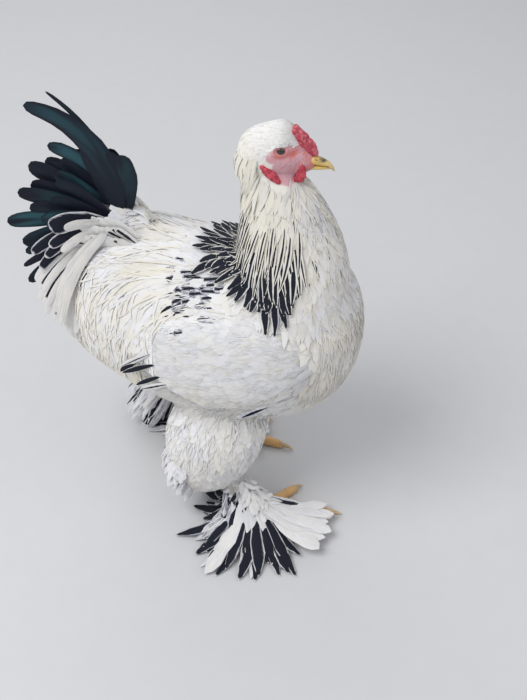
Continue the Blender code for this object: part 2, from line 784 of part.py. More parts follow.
def hub(name, word, side, grow=0.0, home=None):
    place = leg_place(FOOT, word, side)
    place.z = HUB_HEIGHT
    radii = (0.0125 + grow, 0.0120 + grow, HUB_HEIGHT + 0.0004 + grow)
    return ball(name, place, radii, LEG_YELLOW, segments=10, rings=6, home=home)


def make_foot(word, side):
    made = hub("foot_" + word, word, side)
    fuse(made, *(toe("toe", word, side, row, home=tools) for row in TOES))
    cut(made, block("floor", (-0.4, -0.3, -0.05), (0.3, 0.3, 0.0)))
    for row in TOES:
        nail = claw(row[0] + "_claw_" + word, word, side, row)
        cut(nail, toe("toe_grown", word, side, row, GAP, tools))
        cut(nail, block("floor", (-0.4, -0.3, -0.05), (0.3, 0.3, CLAW_FLOOR)))


# Plumage of shank and toes: z, x and y from the foot, radius along x and across, of its core.
CUFF = [
    (0.084, -0.042, 0.012, 0.012, 0.011),
    (0.062, -0.030, 0.014, 0.020, 0.016),
    (0.040, -0.014, 0.016, 0.028, 0.021),
    (0.024, 0.000, 0.018, 0.036, 0.026),
    (0.012, 0.006, 0.020, 0.034, 0.024),
]
# Its tiers: count, first and last angle outwards from straight ahead, root height, length, width.
BOOT_TIERS = [
    (10, -6, 168, 0.026, 0.082, 0.0360),
    (7, -34, 186, 0.044, 0.066, 0.0330),
    (5, -24, 190, 0.064, 0.048, 0.0270),
]
# How long the feathers are that point forward, on the foot in front and on the one behind.
BOOT_FRONT = {"right": 1.0, "left": 0.62}


def boot_feathers(word, side):
    """Feathers that spread down and out from the shank to the floor."""
    names = ["foot_" + word] + [row[0] + "_claw_" + word for row in TOES]
    coat = Coat([part(name) for name in names], [], FEATHER_WHITE)
    draw = random.Random(53 if side < 0 else 59)
    foot = leg_place(FOOT, word, side)
    for count, first, last, height, length, width in BOOT_TIERS:
        _, x, y, along, across = min(spline(CUFF, 8), key=lambda row: abs(row[0] - height))
        for k in range(count):
            turn = first + (last - first) * k / (count - 1) + draw.uniform(-5, 5)
            angle = math.radians(turn)
            out = Vector((math.cos(angle), math.sin(angle) * side, 0))
            root = foot + Vector((x + out.x * (along - ROOT), y * side + out.y * (across - ROOT), height - foot.z))
            size = length * draw.uniform(0.9, 1.1) * (BOOT_FRONT[word] if turn < 60 else 1.0)
            low = BOOT_FLOOR + height * 0.06
            path = []
            for t in ALONG:
                point = root + out * size * math.sin(t * math.pi / 2)
                point.z = low + (height - low) * (1 - t) ** 1.8
                slope = (height - low) * 1.8 * (1 - t) ** 0.8 / size
                path.append((point, out.cross(Z).normalized(), (Z + out * slope).normalized()))
            coat.add(shaped(path, width, 0.0010, tip=0.30, fullest=0.62, root=0.30))
    return coat.feathers


def shank(name, word, side, grow=0.0, home=None):
    top, low = leg_place(HOCK, word, side), leg_place(FOOT, word, side)
    points = [top + (top - low) * 0.12, top, top.lerp(low, 0.5), low, low - Z * 0.004]
    radii = [SHANK_RADIUS * k for k in (1.15, 1.15, 0.95, 1.05, 1.0)]
    return limb(name, points, radii, LEG_YELLOW, 12, grow, home)


def make_shank(word, side):
    foot = leg_place(FOOT, word, side)
    rings = [oval(Vector((foot.x + x, foot.y + y * side, z)), X, Y, along, across, across, 16)
             for z, x, y, along, across in CUFF]
    made = tube("shank_" + word, rings, FEATHER_WHITE)
    fuse(made, shank("shank_core", word, side, home=tools), *boot_feathers(word, side))
    cut(made, thigh("thigh_grown", word, side, GAP, tools))
    cut(made, hub("hub_grown", word, side, GAP, tools),
        *(toe("toe_grown", word, side, row, GAP, tools) for row in TOES),
        *(claw("claw_grown", word, side, row, GAP, tools) for row in TOES))
    return cut(made, block("floor", (-0.4, -0.3, -0.05), (0.3, 0.3, CLAW_FLOOR)))


def make_leg(word, side):
    upper = thigh("thigh_" + word, word, side)
    cut(upper, torso("torso_grown", GAP, tools))
    cut(upper, wing("wing_grown", side, GAP, tools))
    make_foot(word, side)
    make_shank(word, side)


def centre_on_floor():
    """Moves the bird along x and y so that the middle of its box stands at the origin."""
    bpy.context.view_layer.update()
    for axis in (0, 1):
        reach = [corner[axis] for made in bird.objects for corner in made.bound_box]
        middle = (min(reach) + max(reach)) / 2
        for made in bird.objects:
            made.location[axis] = -middle


for old in list(bpy.data.objects):
    bpy.data.objects.remove(old, do_unlink=True)
bird = collection("brahma_cockerel")
tools = collection("cutters")

body = torso()
for word, side in SIDES:
    make_wing(word, side)
make_tail()
fuse(body, *saddle_feathers())
hackle = neck()
fuse(hackle, *hackle_feathers(surface(hackle, torso("guide", home=tools))))
remove(part("guide"))
cut(hackle, torso("torso_grown", GAP, tools))
cut(hackle, head("head_grown", GAP, tools))
make_head()
make_beak()
make_comb()
make_face()
for word, side in SIDES:
    make_leg(word, side)
centre_on_floor()
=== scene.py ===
"""The looks of a life-size young light Brahma cockerel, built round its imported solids.

Lengths are in metres, and in millimetres inside mm(). Forms are described in the source's own
frame, with the right foot below x = 0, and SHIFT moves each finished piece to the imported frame.
"""

from math import cos, dist, pi, radians, sin

import bpy
import numpy as np
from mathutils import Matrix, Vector
from mathutils.bvhtree import BVHTree


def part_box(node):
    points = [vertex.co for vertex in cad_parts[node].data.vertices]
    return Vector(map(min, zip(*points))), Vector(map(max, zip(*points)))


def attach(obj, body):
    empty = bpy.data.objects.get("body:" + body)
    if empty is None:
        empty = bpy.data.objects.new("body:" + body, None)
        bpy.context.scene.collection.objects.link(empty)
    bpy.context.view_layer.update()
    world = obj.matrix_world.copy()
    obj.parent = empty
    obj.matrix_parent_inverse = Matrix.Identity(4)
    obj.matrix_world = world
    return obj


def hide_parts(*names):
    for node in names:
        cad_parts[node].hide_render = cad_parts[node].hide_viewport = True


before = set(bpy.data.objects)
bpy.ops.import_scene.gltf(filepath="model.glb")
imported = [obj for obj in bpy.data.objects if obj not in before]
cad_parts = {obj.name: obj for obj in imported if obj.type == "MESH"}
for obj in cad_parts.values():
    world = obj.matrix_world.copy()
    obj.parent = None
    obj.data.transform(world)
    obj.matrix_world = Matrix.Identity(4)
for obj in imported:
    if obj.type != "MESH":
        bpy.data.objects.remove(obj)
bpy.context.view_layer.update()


# Forms shared with the solids

def mm(*rows):
    return np.array(rows) / 1000


X, Y, Z = np.eye(3)
SIDES = (("right", -1.0), ("left", 1.0))
EYE = mm(9.0, 16.5, 500.5)
EYE_RADIUS = 0.0058
eye_low, eye_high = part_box("eye_right")
SHIFT = np.array((eye_low + eye_high) / 2) - EYE * (1, -1, 1)

# Torso, head and where the tail springs: x, top, bottom, half width.
TORSO = mm((106, 278, 246, 16), (99, 310, 214, 48), (80, 342, 180, 78), (46, 360, 152, 99),
           (0, 367, 140, 110), (-50, 370, 136, 114), (-100, 375, 140, 111), (-145, 384, 150, 101),
           (-185, 384, 165, 86), (-220, 364, 182, 66), (-249, 332, 200, 44), (-269, 296, 222, 22),
           (-277, 272, 244, 8))
HEAD = mm((-40, 496, 466, 10), (-34, 508, 456, 17.5), (-20, 518, 453, 22.5), (-4, 522.5, 455, 23.5),
          (10, 520.5, 460, 21.5), (22, 512, 465, 17), (32, 502, 469, 12.5), (40, 493.5, 472.5, 9),
          (44, 489, 474.5, 7))
TAIL_CORE = mm((-150, 396, 352, 16), (-168, 412, 350, 26), (-190, 420, 346, 29), (-212, 412, 342, 24),
               (-228, 396, 350, 12))
# Neck: z, centre x, half width, front, back.
NECK = mm((300, 22, 76, 66, 74), (330, 22, 78, 70, 74), (360, 20, 70, 68, 65), (390, 13, 56, 67, 54),
          (420, 6, 44, 60, 45), (450, 0, 34, 47, 38), (468, -5, 28, 34, 32))
# Wing: x, top, bottom, how far it stands off the body.
WING = mm((70, 290, 262, 2), (58, 312, 238, 6), (30, 328, 222, 10), (-10, 334, 210, 12), (-55, 332, 206, 12),
          (-100, 326, 218, 9), (-135, 314, 238, 6), (-158, 298, 256, 3))
WING_DEPTH = 0.012
# Thigh, and the shank's plumage from the foot: z, x, y, radius along x, radius across.
THIGH = mm((195, -45, 56, 50, 38), (160, -54, 66, 63, 49), (126, -60, 74, 65, 49), (94, -66, 80, 56, 41),
           (68, -72, 84, 40, 29), (50, -77, 86, 18, 14))
CUFF = mm((84, -42, 12, 12, 11), (62, -30, 14, 20, 16), (40, -14, 16, 28, 21), (24, 0, 18, 36, 26),
          (12, 6, 20, 34, 24))
TAIL_ROOT = np.array([-0.186, 0.0, 0.388])
STEP_BACK = {"right": 0.0, "left": -0.085}
FOOT = np.array([0.0, 0.07, 0.013])

# The camera of the photograph: its place, how far round and how high it looks from, its lens.
CAMERA_PLACE = np.array([0.2013, -1.0075, 1.02])
CAMERA_AROUND = 12.0
CAMERA_HEIGHT = 38.0
CAMERA_LENS = 54.0

# How far the skin lies below the solids' surface, and the size of the skin's faces.
COAT_DEPTH = 0.006
SKIN_CELL = 0.0034
FACE_CELL = 0.0011


# Meshes

def spline(rows, per_span):
    """Rows of numbers, with more rows between them on a smooth curve."""
    rows = np.array(rows, float)
    made = []
    for i in range(len(rows) - 1):
        a, b, c, d = (rows[min(max(k, 0), len(rows) - 1)] for k in (i - 1, i, i + 1, i + 2))
        for t in np.arange(per_span) / per_span:
            made.append(0.5 * (2 * b + (c - a) * t + (2 * a - 5 * b + 4 * c - d) * t**2
                               + (3 * b - a - 3 * c + d) * t**3))
    return np.array(made + [rows[-1]])


def mesh_of(name, points, faces):
    """A mesh from an array of points and an array of triangles."""
    mesh = bpy.data.meshes.new(name)
    mesh.vertices.add(len(points))
    mesh.vertices.foreach_set("co", np.asarray(points, np.float32).ravel())
    mesh.loops.add(len(faces) * 3)
    mesh.loops.foreach_set("vertex_index", np.asarray(faces, np.int32).ravel())
    mesh.polygons.add(len(faces))
    mesh.polygons.foreach_set("loop_start", np.arange(0, len(faces) * 3, 3, dtype=np.int32))
    mesh.update(calc_edges=True)
    return mesh


def points_of(mesh):
    points = np.empty(len(mesh.vertices) * 3)
    mesh.vertices.foreach_get("co", points)
    return points.reshape(-1, 3)


def object_of(name, mesh, material=None):
    made = bpy.data.objects.new(name, mesh)
    bpy.context.scene.collection.objects.link(made)
    if material:
        mesh.materials.append(material)
    return made


def piece(name, points, faces, material, node=None):
    """A finished smooth object that rides on the one body, and may stand for a node."""
    made = object_of(name, mesh_of(name, points + SHIFT, faces), material)
    made.data.polygons.foreach_set("use_smooth", np.ones(len(faces), bool))
    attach(made, "root")
    if node:
        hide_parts(node)
    return made


def set_attribute(mesh, name, values):
    """Keeps a number, or a row of three, with each point of a mesh."""
    values = np.asarray(values, np.float32)
    kind, field = ("FLOAT", "value") if values.ndim == 1 else ("FLOAT_VECTOR", "vector")
    mesh.attributes.new(name, kind, "POINT").data.foreach_set(field, values.ravel())


def unit(vectors):
    return vectors / np.maximum(np.linalg.norm(vectors, axis=-1, keepdims=True), 1e-12)


def tube(rings):
    """Points and triangles of a closed form through rings of points."""
    rings = np.array(rings)
    count, around, _ = rings.shape
    points = np.vstack([rings.reshape(-1, 3), rings[0].mean(0), rings[-1].mean(0)])
    faces = []
    for i in range(count - 1):
        for k in range(around):
            a, b = i * around + k, i * around + (k + 1) % around
            faces += [(a, b, b + around), (a, b + around, a + around)]
    last = (count - 1) * around
    for k in range(around):
        n = (k + 1) % around
        faces += [(n, k, count * around), (last + k, last + n, count * around + 1)]
    return points, np.array(faces)


def turned_out(points, faces):
    """The same faces, wound so that they face outwards."""
    a, b, c = (points[faces[:, k]] for k in range(3))
    volume = np.einsum("ij,ij->i", a, np.cross(b, c)).sum()
    return faces if volume > 0 else faces[:, ::-1]


def normals_at(points, faces):
    a, b, c = (points[faces[:, k]] for k in range(3))
    flat = np.cross(b - a, c - a)
    total = np.zeros_like(points)
    for k in range(3):
        np.add.at(total, faces[:, k], flat)
    return unit(total)


def oval(centre, side, up, wide, high, low=None, around=32, square=2.0):
    """A ring of points, wide along side, high along up and low against it.

    square is 2 for an ellipse, and more for one with fuller corners."""
    low = high if low is None else low
    angle = 2 * np.pi * np.arange(around) / around
    across, rise = np.cos(angle), np.sin(angle)
    across = np.sign(across) * np.abs(across) ** (2 / square) * wide
    rise = np.sign(rise) * np.abs(rise) ** (2 / square) * np.where(rise > 0, high, low)
    return np.asarray(centre) + np.outer(across, side) + np.outer(rise, up)


def upright_form(rows, around=48, square=2.0, inset=0.0, per_span=5):
    return tube([oval((x, 0, (top + bottom) / 2), Y, Z, max(half - inset, 0.002),
                      max((top - bottom) / 2 - inset, 0.002), around=around, square=square)
                 for x, top, bottom, half in spline(rows, per_span)])


def neck_form(inset):
    return tube([oval((x, 0, z), Y, X, half - inset, front - inset, back - inset, 40)
                 for z, x, half, front, back in spline(NECK, 5)])


def torso_half_width(x, z):
    rows = spline(TORSO, 2)
    rows = rows[np.argsort(rows[:, 0])]
    top, bottom, half = (np.interp(x, rows[:, 0], rows[:, k]) for k in (1, 2, 3))
    rise = min(abs(z - (top + bottom) / 2) / ((top - bottom) / 2), 0.98)
    return half * (1 - rise**2.15) ** (1 / 2.15)


def wing_form(side, inset):
    rings = []
    for x, top, bottom, off in spline(WING, 4):
        middle = (top + bottom) / 2
        centre = (x, side * (torso_half_width(x, middle) - WING_DEPTH), middle)
        lean = (torso_half_width(x, top) - torso_half_width(x, bottom)) / (top - bottom)
        up = Z + Y * side * lean
        rings.append(oval(centre, up / np.linalg.norm(up), Y * side, (top - bottom) / 2 - inset,
                          max(off + WING_DEPTH - inset, 0.003), WING_DEPTH, 32, 2.4))
    return tube(rings)


def thigh_form(word, side, inset):
    rings = []
    top, low = THIGH[0][0], THIGH[-1][0]
    for z, x, y, along, across in spline(THIGH, 4):
        lag = STEP_BACK[word] * (0.35 + 0.65 * (top - z) / (top - low))
        along, across = max(along - inset, 0.006), max(across - inset, 0.006)
        rings.append(oval((x + lag, y * side, z), X, Y, along, across))
    return tube(rings)


def cuff_form(word, side, inset):
    return tube([oval((FOOT[0] + STEP_BACK[word] + x, (FOOT[1] + y) * side, z), X, Y, along - inset,
                      across - inset, around=28) for z, x, y, along, across in spline(CUFF, 4)])


def ball_form(centre, radii, around=20, turn=0.0):
    """An ellipsoid, turned about the y axis by an angle in degrees."""
    a = radians(turn)
    matrix = np.array([(cos(a), 0, sin(a)), (0, 1, 0), (-sin(a), 0, cos(a))])
    rings = []
    for t in np.linspace(0.06, 0.94, 11) * pi:
        ring = oval((0, 0, -cos(t)), X, Y, sin(t), sin(t), around=around) * radii
        rings.append(np.asarray(centre) + ring @ matrix.T)
    return tube(rings)


def limb_form(points, radii, around=24):
    rings = []
    for centre, radius, way in zip(points, radii, unit(np.gradient(points, axis=0))):
        side = unit(Y - way * way[1]) if abs(way[1]) < 0.9 else unit(X - way * way[0])
        rings.append(oval(centre, side, np.cross(way, side), radius, radius, around=around))
    return tube(rings)


def remeshed(name, forms, cell, smooth):
    """One closed surface round several forms."""
    points, faces, start = [], [], 0
    for some_points, some_faces in forms:
        points.append(some_points)
        faces.append(turned_out(some_points, some_faces) + start)
        start += len(some_points)
    made = object_of(name, mesh_of(name, np.vstack(points), np.vstack(faces)))
    remesh = made.modifiers.new("remesh", "REMESH")
    remesh.mode = "VOXEL"
    remesh.voxel_size = cell
    soften = made.modifiers.new("soften", "SMOOTH")
    soften.factor = 0.5
    soften.iterations = smooth
    mesh = bpy.data.meshes.new_from_object(made.evaluated_get(bpy.context.evaluated_depsgraph_get()))
    bpy.data.objects.remove(made)
    mesh.calc_loop_triangles()
    triangles = np.empty(len(mesh.loop_triangles) * 3, np.int32)
    mesh.loop_triangles.foreach_get("vertices", triangles)
    return points_of(mesh), triangles.reshape(-1, 3)


# Fields: numbers that vary from place to place

def ease(low, high, value):
    t = np.clip((value - low) / (high - low), 0, 1)
    return t * t * (3 - 2 * t)


def falloff(distance, reach):
    """One at no distance, falling smoothly to nothing at reach."""
    return ease(0, 1, 1 - distance / reach)


def beside(points, centre, scale, reach):
    """How near points are to a centre: one there, nothing at reach. scale stretches the distance."""
    return falloff(np.linalg.norm((points - centre) * scale, axis=1), reach)


def waves(points, size, seed):
    """Smooth, irregular variation from -1 to 1 with features of about a size."""
    draw = np.random.default_rng(seed)
    total = np.zeros(len(points))
    for _ in range(9):
        way = draw.normal(size=3)
        way *= 2 * np.pi / size * draw.uniform(0.6, 1.6) / np.linalg.norm(way)
        total += np.sin(points @ way + draw.uniform(0, 2 * np.pi))
    return np.clip(total / 4.0, -1, 1)


BARE_TOP = 0.5155


def bareness(points):
    """How far the head is bare skin at each point, from 0 to 1."""
    x, z = points[:, 0], points[:, 2]
    face = 1 - np.linalg.norm(np.stack([(x - 0.017) / 0.0225, (z - 0.4945) / 0.013], 1), axis=1)
    cheek = 1 - np.linalg.norm(np.stack([(x - 0.0165) / 0.017, (z - 0.479) / 0.019], 1), axis=1)
    front = (x - 0.033) / 0.01
    bare = (np.maximum(np.maximum(face, cheek), front) + 0.1 * waves(points, 0.012, 5)) * 7 + 0.3
    return np.clip(bare, 0, 1) * np.clip((BARE_TOP - z) / 0.003, 0, 1) * np.clip((z - 0.456) / 0.004, 0, 1)


def round_the_neck(points):
    """The angle round the neck at each point, 0 in front and 180 at the nape."""
    return np.degrees(np.arctan2(np.abs(points[:, 1]), points[:, 0] - 0.012))


def cape(points):
    """How black the feathers of the neck and cape are, from 0 to 1, by where they grow."""
    height = points[:, 2] + 0.1 * np.clip(-points[:, 0] + 0.02, 0, 0.1)
    front = 14 * ease(0.395, 0.35, points[:, 2])
    return ease(0.425, 0.385, height) * ease(48, 70, round_the_neck(points) - front)


# The skin: the body, and the head, which is finer and modelled by moving its points

# Round each eye: how far the skin is raised, the place from the eye, the scale and the reach.
SOCKET = (
    (-0.0034, (0, 0, 0), (1, 0, 1.25), 0.0062),
    (0.001, (0.002, 0, 0.0085), (0.5, 0, 1.6), 0.006),
    (0.0011, (0.01, 0, -0.013), (1, 0, 1.2), 0.01),
    (-0.0009, (0.0165, 0, -0.0035), (0.8, 0, 1.4), 0.007),
)


def model_head(points, faces):
    """Presses in the sockets, raises the lids and brow, and folds the bare skin."""
    move = np.zeros(len(points))
    for _, side in SIDES:
        own = points[:, 1] * side > 0
        offset = points - EYE * (1, side, 1)
        ring = np.linalg.norm(offset * (1, 0, 1.25), axis=1)
        move += own * 0.0012 * falloff(np.abs(ring - 0.0072), 0.0026)
        for height, place, scale, reach in SOCKET:
            move += own * height * beside(offset, place, scale, reach)
    move += 0.006 * beside(points, (0.013, 0, 0.52), (1, 0.7, 1), 0.026)
    folds = 0.0003 * waves(points * (1, 1, 1.8), 0.0032, 8) + 0.00022 * waves(points, 0.0017, 9)
    move += bareness(points) * folds
    return points + normals_at(points, faces) * move[:, None]


body_forms = {
    "torso": upright_form(TORSO, square=2.15, inset=COAT_DEPTH),
    "neck": neck_form(COAT_DEPTH),
    "tail": upright_form(TAIL_CORE, inset=0.002),
}
for word, side in SIDES:
    body_forms["wing_" + word] = wing_form(side, COAT_DEPTH)
    body_forms["thigh_" + word] = thigh_form(word, side, COAT_DEPTH)
    body_forms["cuff_" + word] = cuff_form(word, side, 0.003)
body_forms["head"] = upright_form(HEAD, square=2.1, inset=0.001)
body_points, body_faces = remeshed("body", body_forms.values(), SKIN_CELL, 10)
head_points, head_faces = remeshed("head", [upright_form(HEAD, 64, 2.1, 0.0004, 8)], FACE_CELL, 6)
head_points = model_head(head_points, head_faces)


class Surface:
    """A part of the skin that feathers grow on; first is the place of its first face in the skin."""

    def __init__(self, points, faces, first):
        self.points = points
        self.faces = faces
        self.first = first
        self.normals = normals_at(points, faces)
        self.middles = points[faces].mean(1)
        self.tree = BVHTree.FromPolygons(points.tolist(), faces.tolist())


body = Surface(body_points, body_faces, 0)
head = Surface(head_points, head_faces, len(body_faces))


# Materials

class Look:
    """A material, with short ways to add nodes to it."""

    def __init__(self, name, roughness, **sockets):
        self.material = bpy.data.materials.new(name)
        self.material.use_nodes = True
        self.tree = self.material.node_tree
        self.shader = self.tree.nodes["Principled BSDF"]
        self.place = None
        self.fill(self.shader, Roughness=roughness, **sockets)

    def put(self, socket, value):
        if isinstance(value, bpy.types.NodeSocket):
            self.tree.links.new(value, socket)
        elif value is not None:
            socket.default_value = value

    def fill(self, node, **sockets):
        """Puts values in a node's sockets by name."""
        for name, value in sockets.items():
            self.put(node.inputs[name.replace("_", " ")], value)

    def node(self, kind, *values, **settings):
        """A new node with settings, and with values in its first sockets."""
        node = self.tree.nodes.new("ShaderNode" + kind)
        for name, value in settings.items():
            setattr(node, name, value)
        for socket, value in zip(node.inputs, values):
            self.put(socket, value)
        return node

    def number(self, name):
        return self.node("Attribute", attribute_name=name).outputs["Fac"]

    def numbers(self, name):
        return self.node("SeparateXYZ", self.node("Attribute", attribute_name=name).outputs["Vector"]).outputs

    def math(self, operation, a, b=None, c=None, clamp=False):
        return self.node("Math", a, b, c, operation=operation, use_clamp=clamp).outputs[0]

    def times(self, a, b, clamp=False):
        return self.math("MULTIPLY", a, b, clamp=clamp)

    def step(self, value, low, high, start=0.0, end=1.0):
        return self.node("MapRange", value, low, high, start, end, interpolation_type="SMOOTHSTEP").outputs[0]

    def mix(self, share, a, b):
        node = self.node("Mix", share, data_type="RGBA")
        for socket, value in zip([s for s in node.inputs if s.type == "RGBA"], (a, b)):
            self.put(socket, value)
        return [s for s in node.outputs if s.type == "RGBA"][0]

    def noise(self, scale, detail=3.0, roughness=0.5, vector=None):
        """Noise over the piece, or over a vector of its own."""
        if vector is None:
            self.place = self.place or self.node("TexCoord").outputs["Object"]
            vector = self.place
        node = self.node("TexNoise", vector)
        self.fill(node, Scale=scale, Detail=detail, Roughness=roughness)
        return node.outputs["Fac"]

    def finish(self, colour, height=None, strength=0.0, distance=0.0):
        """Sets the colour, and a bump by height; the material is then done."""
        self.fill(self.shader, Base_Color=colour)
        if height is not None:
            node = self.node("Bump")
            self.fill(node, Height=height, Strength=strength, Distance=distance)
            self.fill(self.shader, Normal=node.outputs[0])
        return self.material


WHITE = (0.8, 0.8, 0.815, 1)
CREAM = (0.78, 0.73, 0.6, 1)
LILAC = (0.5, 0.51, 0.58, 1)
GREY = (0.14, 0.14, 0.17, 1)
BLACK = (0.008, 0.009, 0.014, 1)
BLUE_BLACK = (0.012, 0.016, 0.03, 1)
# Painted sheen: the tail's teal, which changes with the view, laid on as fixed colour in patches.
TEAL_SHEEN = (0.04, 0.12, 0.145, 1)
DEEP_TEAL_SHEEN = (0.014, 0.05, 0.062, 1)


def feather_material(name, sheen_colour, sheen_lines_colour, sheen_share, roughness, specular):
    """Vanes with a dark middle, pale edges and fine barbs, from where a point lies on its vane, with painted
    shade in lilac towards each root and, on glossy vanes, painted teal sheen.

    vane holds across (-1 to 1), along (0 to 1) and a number of the vane's own. coat holds how wide
    the dark middle is, how cream the pale part is and how grey it is; on glossy vanes the grey also
    sets how strong the painted teal sheen is."""
    look = Look(name, roughness, Specular_IOR_Level=specular)
    across, along, own = look.numbers("vane")
    dark, cream, grey = look.numbers("coat")
    edge = look.math("ABSOLUTE", across)
    slant = look.math("MULTIPLY_ADD", edge, -0.35, along)

    def lines(length, width, seed, detail):
        parts = [look.times(part, size) for part, size in ((slant, length), (edge, width), (own, seed))]
        return look.noise(1.0, detail, 0.6, look.node("CombineXYZ", *parts).outputs[0])

    barbs = lines(60.0, 1.5, 91.0, 2.0)
    streaks = lines(7.0, 3.0, 57.0, 3.0)
    patches = lines(1.6, 0.5, 23.0, 1.0)
    outline = look.math("MAXIMUM", edge, look.step(along, 0.88, 1.0))
    for rough, amount in ((streaks, 0.45), (barbs, 0.35)):
        outline = look.math("MULTIPLY_ADD", look.math("SUBTRACT", rough, 0.5), amount, outline)
    growth = look.math("MAXIMUM", look.step(along, 0.0, 0.45, 0.55, 1.0), look.step(dark, 0.5, 0.7))
    inside = look.step(look.math("SUBTRACT", outline, look.times(dark, growth)), -0.14, 0.12, 1.0, 0.0)
    masked = look.times(inside, look.math("LESS_THAN", 0.02, dark))
    shade = look.times(grey, look.step(streaks, 0.25, 0.75), clamp=True)
    pale = look.mix(cream, WHITE, CREAM)
    for share, colour in ((look.times(shade, 1.6, clamp=True), LILAC), (look.step(shade, 0.34, 0.85), GREY),
                          (look.step(barbs, 0.35, 0.75, 0.0, 0.14), LILAC),
                          (look.step(edge, 0.0, 0.1, 0.25, 0.0), CREAM),
                          # painted shade: lilac towards each vane's root, where the vanes above overlap it
                          (look.step(along, 0.0, 0.35, 0.25, 0.0), LILAC)):
        pale = look.mix(share, pale, colour)
    # Painted sheen: teal highlight patches laid on glossy vanes as colour, strongest part way out along the
    # middle, fading at the edges and the tip.
    sheen = look.times(look.step(patches, 0.4, 0.66), look.times(grey, sheen_share))
    sheen = look.times(sheen, look.step(along, 0.25, 0.6, 0.15, 1.0))
    sheen = look.times(sheen, look.step(edge, 0.55, 1.02, 1.0, 0.25))
    sheen = look.times(sheen, look.step(along, 0.82, 1.0, 1.0, 0.3), clamp=True)
    deep = look.mix(sheen, look.mix(barbs, BLUE_BLACK, BLACK), look.mix(barbs, sheen_colour, sheen_lines_colour))
    ribs = look.math("MULTIPLY_ADD", edge, -0.4, barbs)
    return look.finish(look.mix(masked, pale, deep), ribs, 0.2, 0.0005)


plumage = feather_material("plumage", BLUE_BLACK, BLUE_BLACK, 0.0, 0.75, 0.2)
tail_vanes = feather_material("tail_vanes", TEAL_SHEEN, DEEP_TEAL_SHEEN, 1.0, 0.44, 0.16)


def skin_material():
    """Plumage colours below the feathers, and bare pink and red skin on the face."""
    look = Look("skin", 0.55)
    dark, cream, _ = look.numbers("coat")
    fine = look.noise(900.0, 4.0, 0.6)
    broad = look.noise(160.0, 3.0, 0.6)
    pink = look.mix(broad, (0.68, 0.41, 0.45, 1), (0.58, 0.28, 0.33, 1))
    red = look.mix(broad, (0.52, 0.08, 0.07, 1), (0.64, 0.18, 0.13, 1))
    flesh = look.mix(look.number("red"), pink, red)
    flesh = look.mix(look.step(fine, 0.45, 0.75, 0.0, 0.45), flesh, (0.74, 0.5, 0.5, 1))
    coat = look.mix(dark, look.mix(cream, WHITE, CREAM), (0.03, 0.03, 0.04, 1))
    return look.finish(look.mix(look.number("bare"), coat, flesh), look.math("ADD", fine, broad), 0.5, 0.0008)


def make_skin():
    """The skin, with an unwrap of its own shape that the feathers' patches share."""
    points = np.vstack([body_points, head_points])
    mesh = mesh_of("skin", points + SHIFT, np.vstack([body_faces, head_faces + len(body_points)]))
    made = object_of("skin", mesh, skin_material())
    mesh.polygons.foreach_set("use_smooth", np.ones(len(mesh.polygons), bool))
    mesh.uv_layers.new(name="OFBake")
    bpy.context.view_layer.objects.active = made
    made.select_set(True)
    bpy.ops.object.mode_set(mode="EDIT")
    bpy.ops.mesh.select_all(action="SELECT")
    bpy.ops.uv.smart_project(angle_limit=radians(66), island_margin=0.002)
    bpy.ops.object.mode_set(mode="OBJECT")
    made.select_set(False)
    corners = np.empty(len(mesh.loops) * 2)
    mesh.uv_layers["OFBake"].data.foreach_get("uv", corners)
    x, z = points[:, 0], points[:, 2]
    red = (beside(points, EYE, (1, 0, 1), 0.014) + 0.9 * beside(points, (0.023, 0, 0.4975), (1, 0, 1), 0.011)
           + 0.6 * ease(0.03, 0.036, x) + 0.35 * waves(points, 0.01, 3))
    dark = 0.9 * cape(points) * (z < 0.44) * (z > 0.3) * (x > -0.07)
    dark = np.maximum(dark, ease(0.38, 0.392, z) * ease(-0.165, -0.178, x))
    set_attribute(mesh, "bare", bareness(points))
    set_attribute(mesh, "red", np.clip(red, 0, 1))
    set_attribute(mesh, "coat", np.stack([dark, 0.5 * ease(0.36, 0.42, z), 0 * x], 1))
    return made, corners.reshape(-1, 3, 2).mean(1)


skin, skin_uv = make_skin()


# Vanes

PATCH = 0.003
VANE_THICKNESS = 0.00012
# Outlines of vanes: shares of the half width, and how far along the vane each one lies.
ROWS = (0.0, 0.12, 0.36, 0.62, 0.86, 1.0)
POINTED = ((0.0, 0.6, 0.95, 0.95, 0.55, 0.0), ROWS)
ROUNDED = ((0.0, 0.6, 0.92, 1.0, 0.78, 0.0), ROWS)
LONG_ROWS = np.array((0.0, 0.07, 0.22, 0.4, 0.58, 0.76, 0.9, 1.0))
LONG = (np.array((0.0, 0.5, 0.8, 0.97, 1.0, 0.8, 0.44, 0.0)), LONG_ROWS)
BROAD = (np.array((0.0, 0.5, 0.82, 1.0, 1.02, 0.94, 0.7, 0.0)), LONG_ROWS)
STRAND = ((0.0, 0.8, 1.0, 0.7, 0.0), (0.0, 0.15, 0.45, 0.75, 1.0))


def nearest(surface, points):
    """The nearest place on a surface for each point, the way out there and the face of the skin."""
    places, ways = np.empty_like(points), np.empty_like(points)
    faces = np.empty(len(points), int)
    for i, point in enumerate(points.tolist()):
        places[i], ways[i], face, _ = surface.tree.find_nearest(point)
        faces[i] = face + surface.first
    return places, ways, faces


def vane_faces(rows, columns):
    """Triangles of one vane: a point at its root and tip, and rows of points between them."""
    inner = rows - 2
    tip = 1 + inner * columns
    first, last = 1, 1 + (inner - 1) * columns
    top = []
    under = [(0, first + columns - 1, first), (tip, last, last + columns - 1)]
    for k in range(columns - 1):
        top += [(0, first + k, first + k + 1), (tip, last + k + 1, last + k)]
    for row in range(inner - 1):
        start = 1 + row * columns
        for near in range(start, start + columns - 1):
            far = near + columns
            top += [(near, far, far + 1), (near, far + 1, near + 1)]
        near, far = start + columns - 1, start + 2 * columns - 1
        under += [(near, far, start + columns), (near, start + columns, start)]
    return np.array(top), np.array(under)


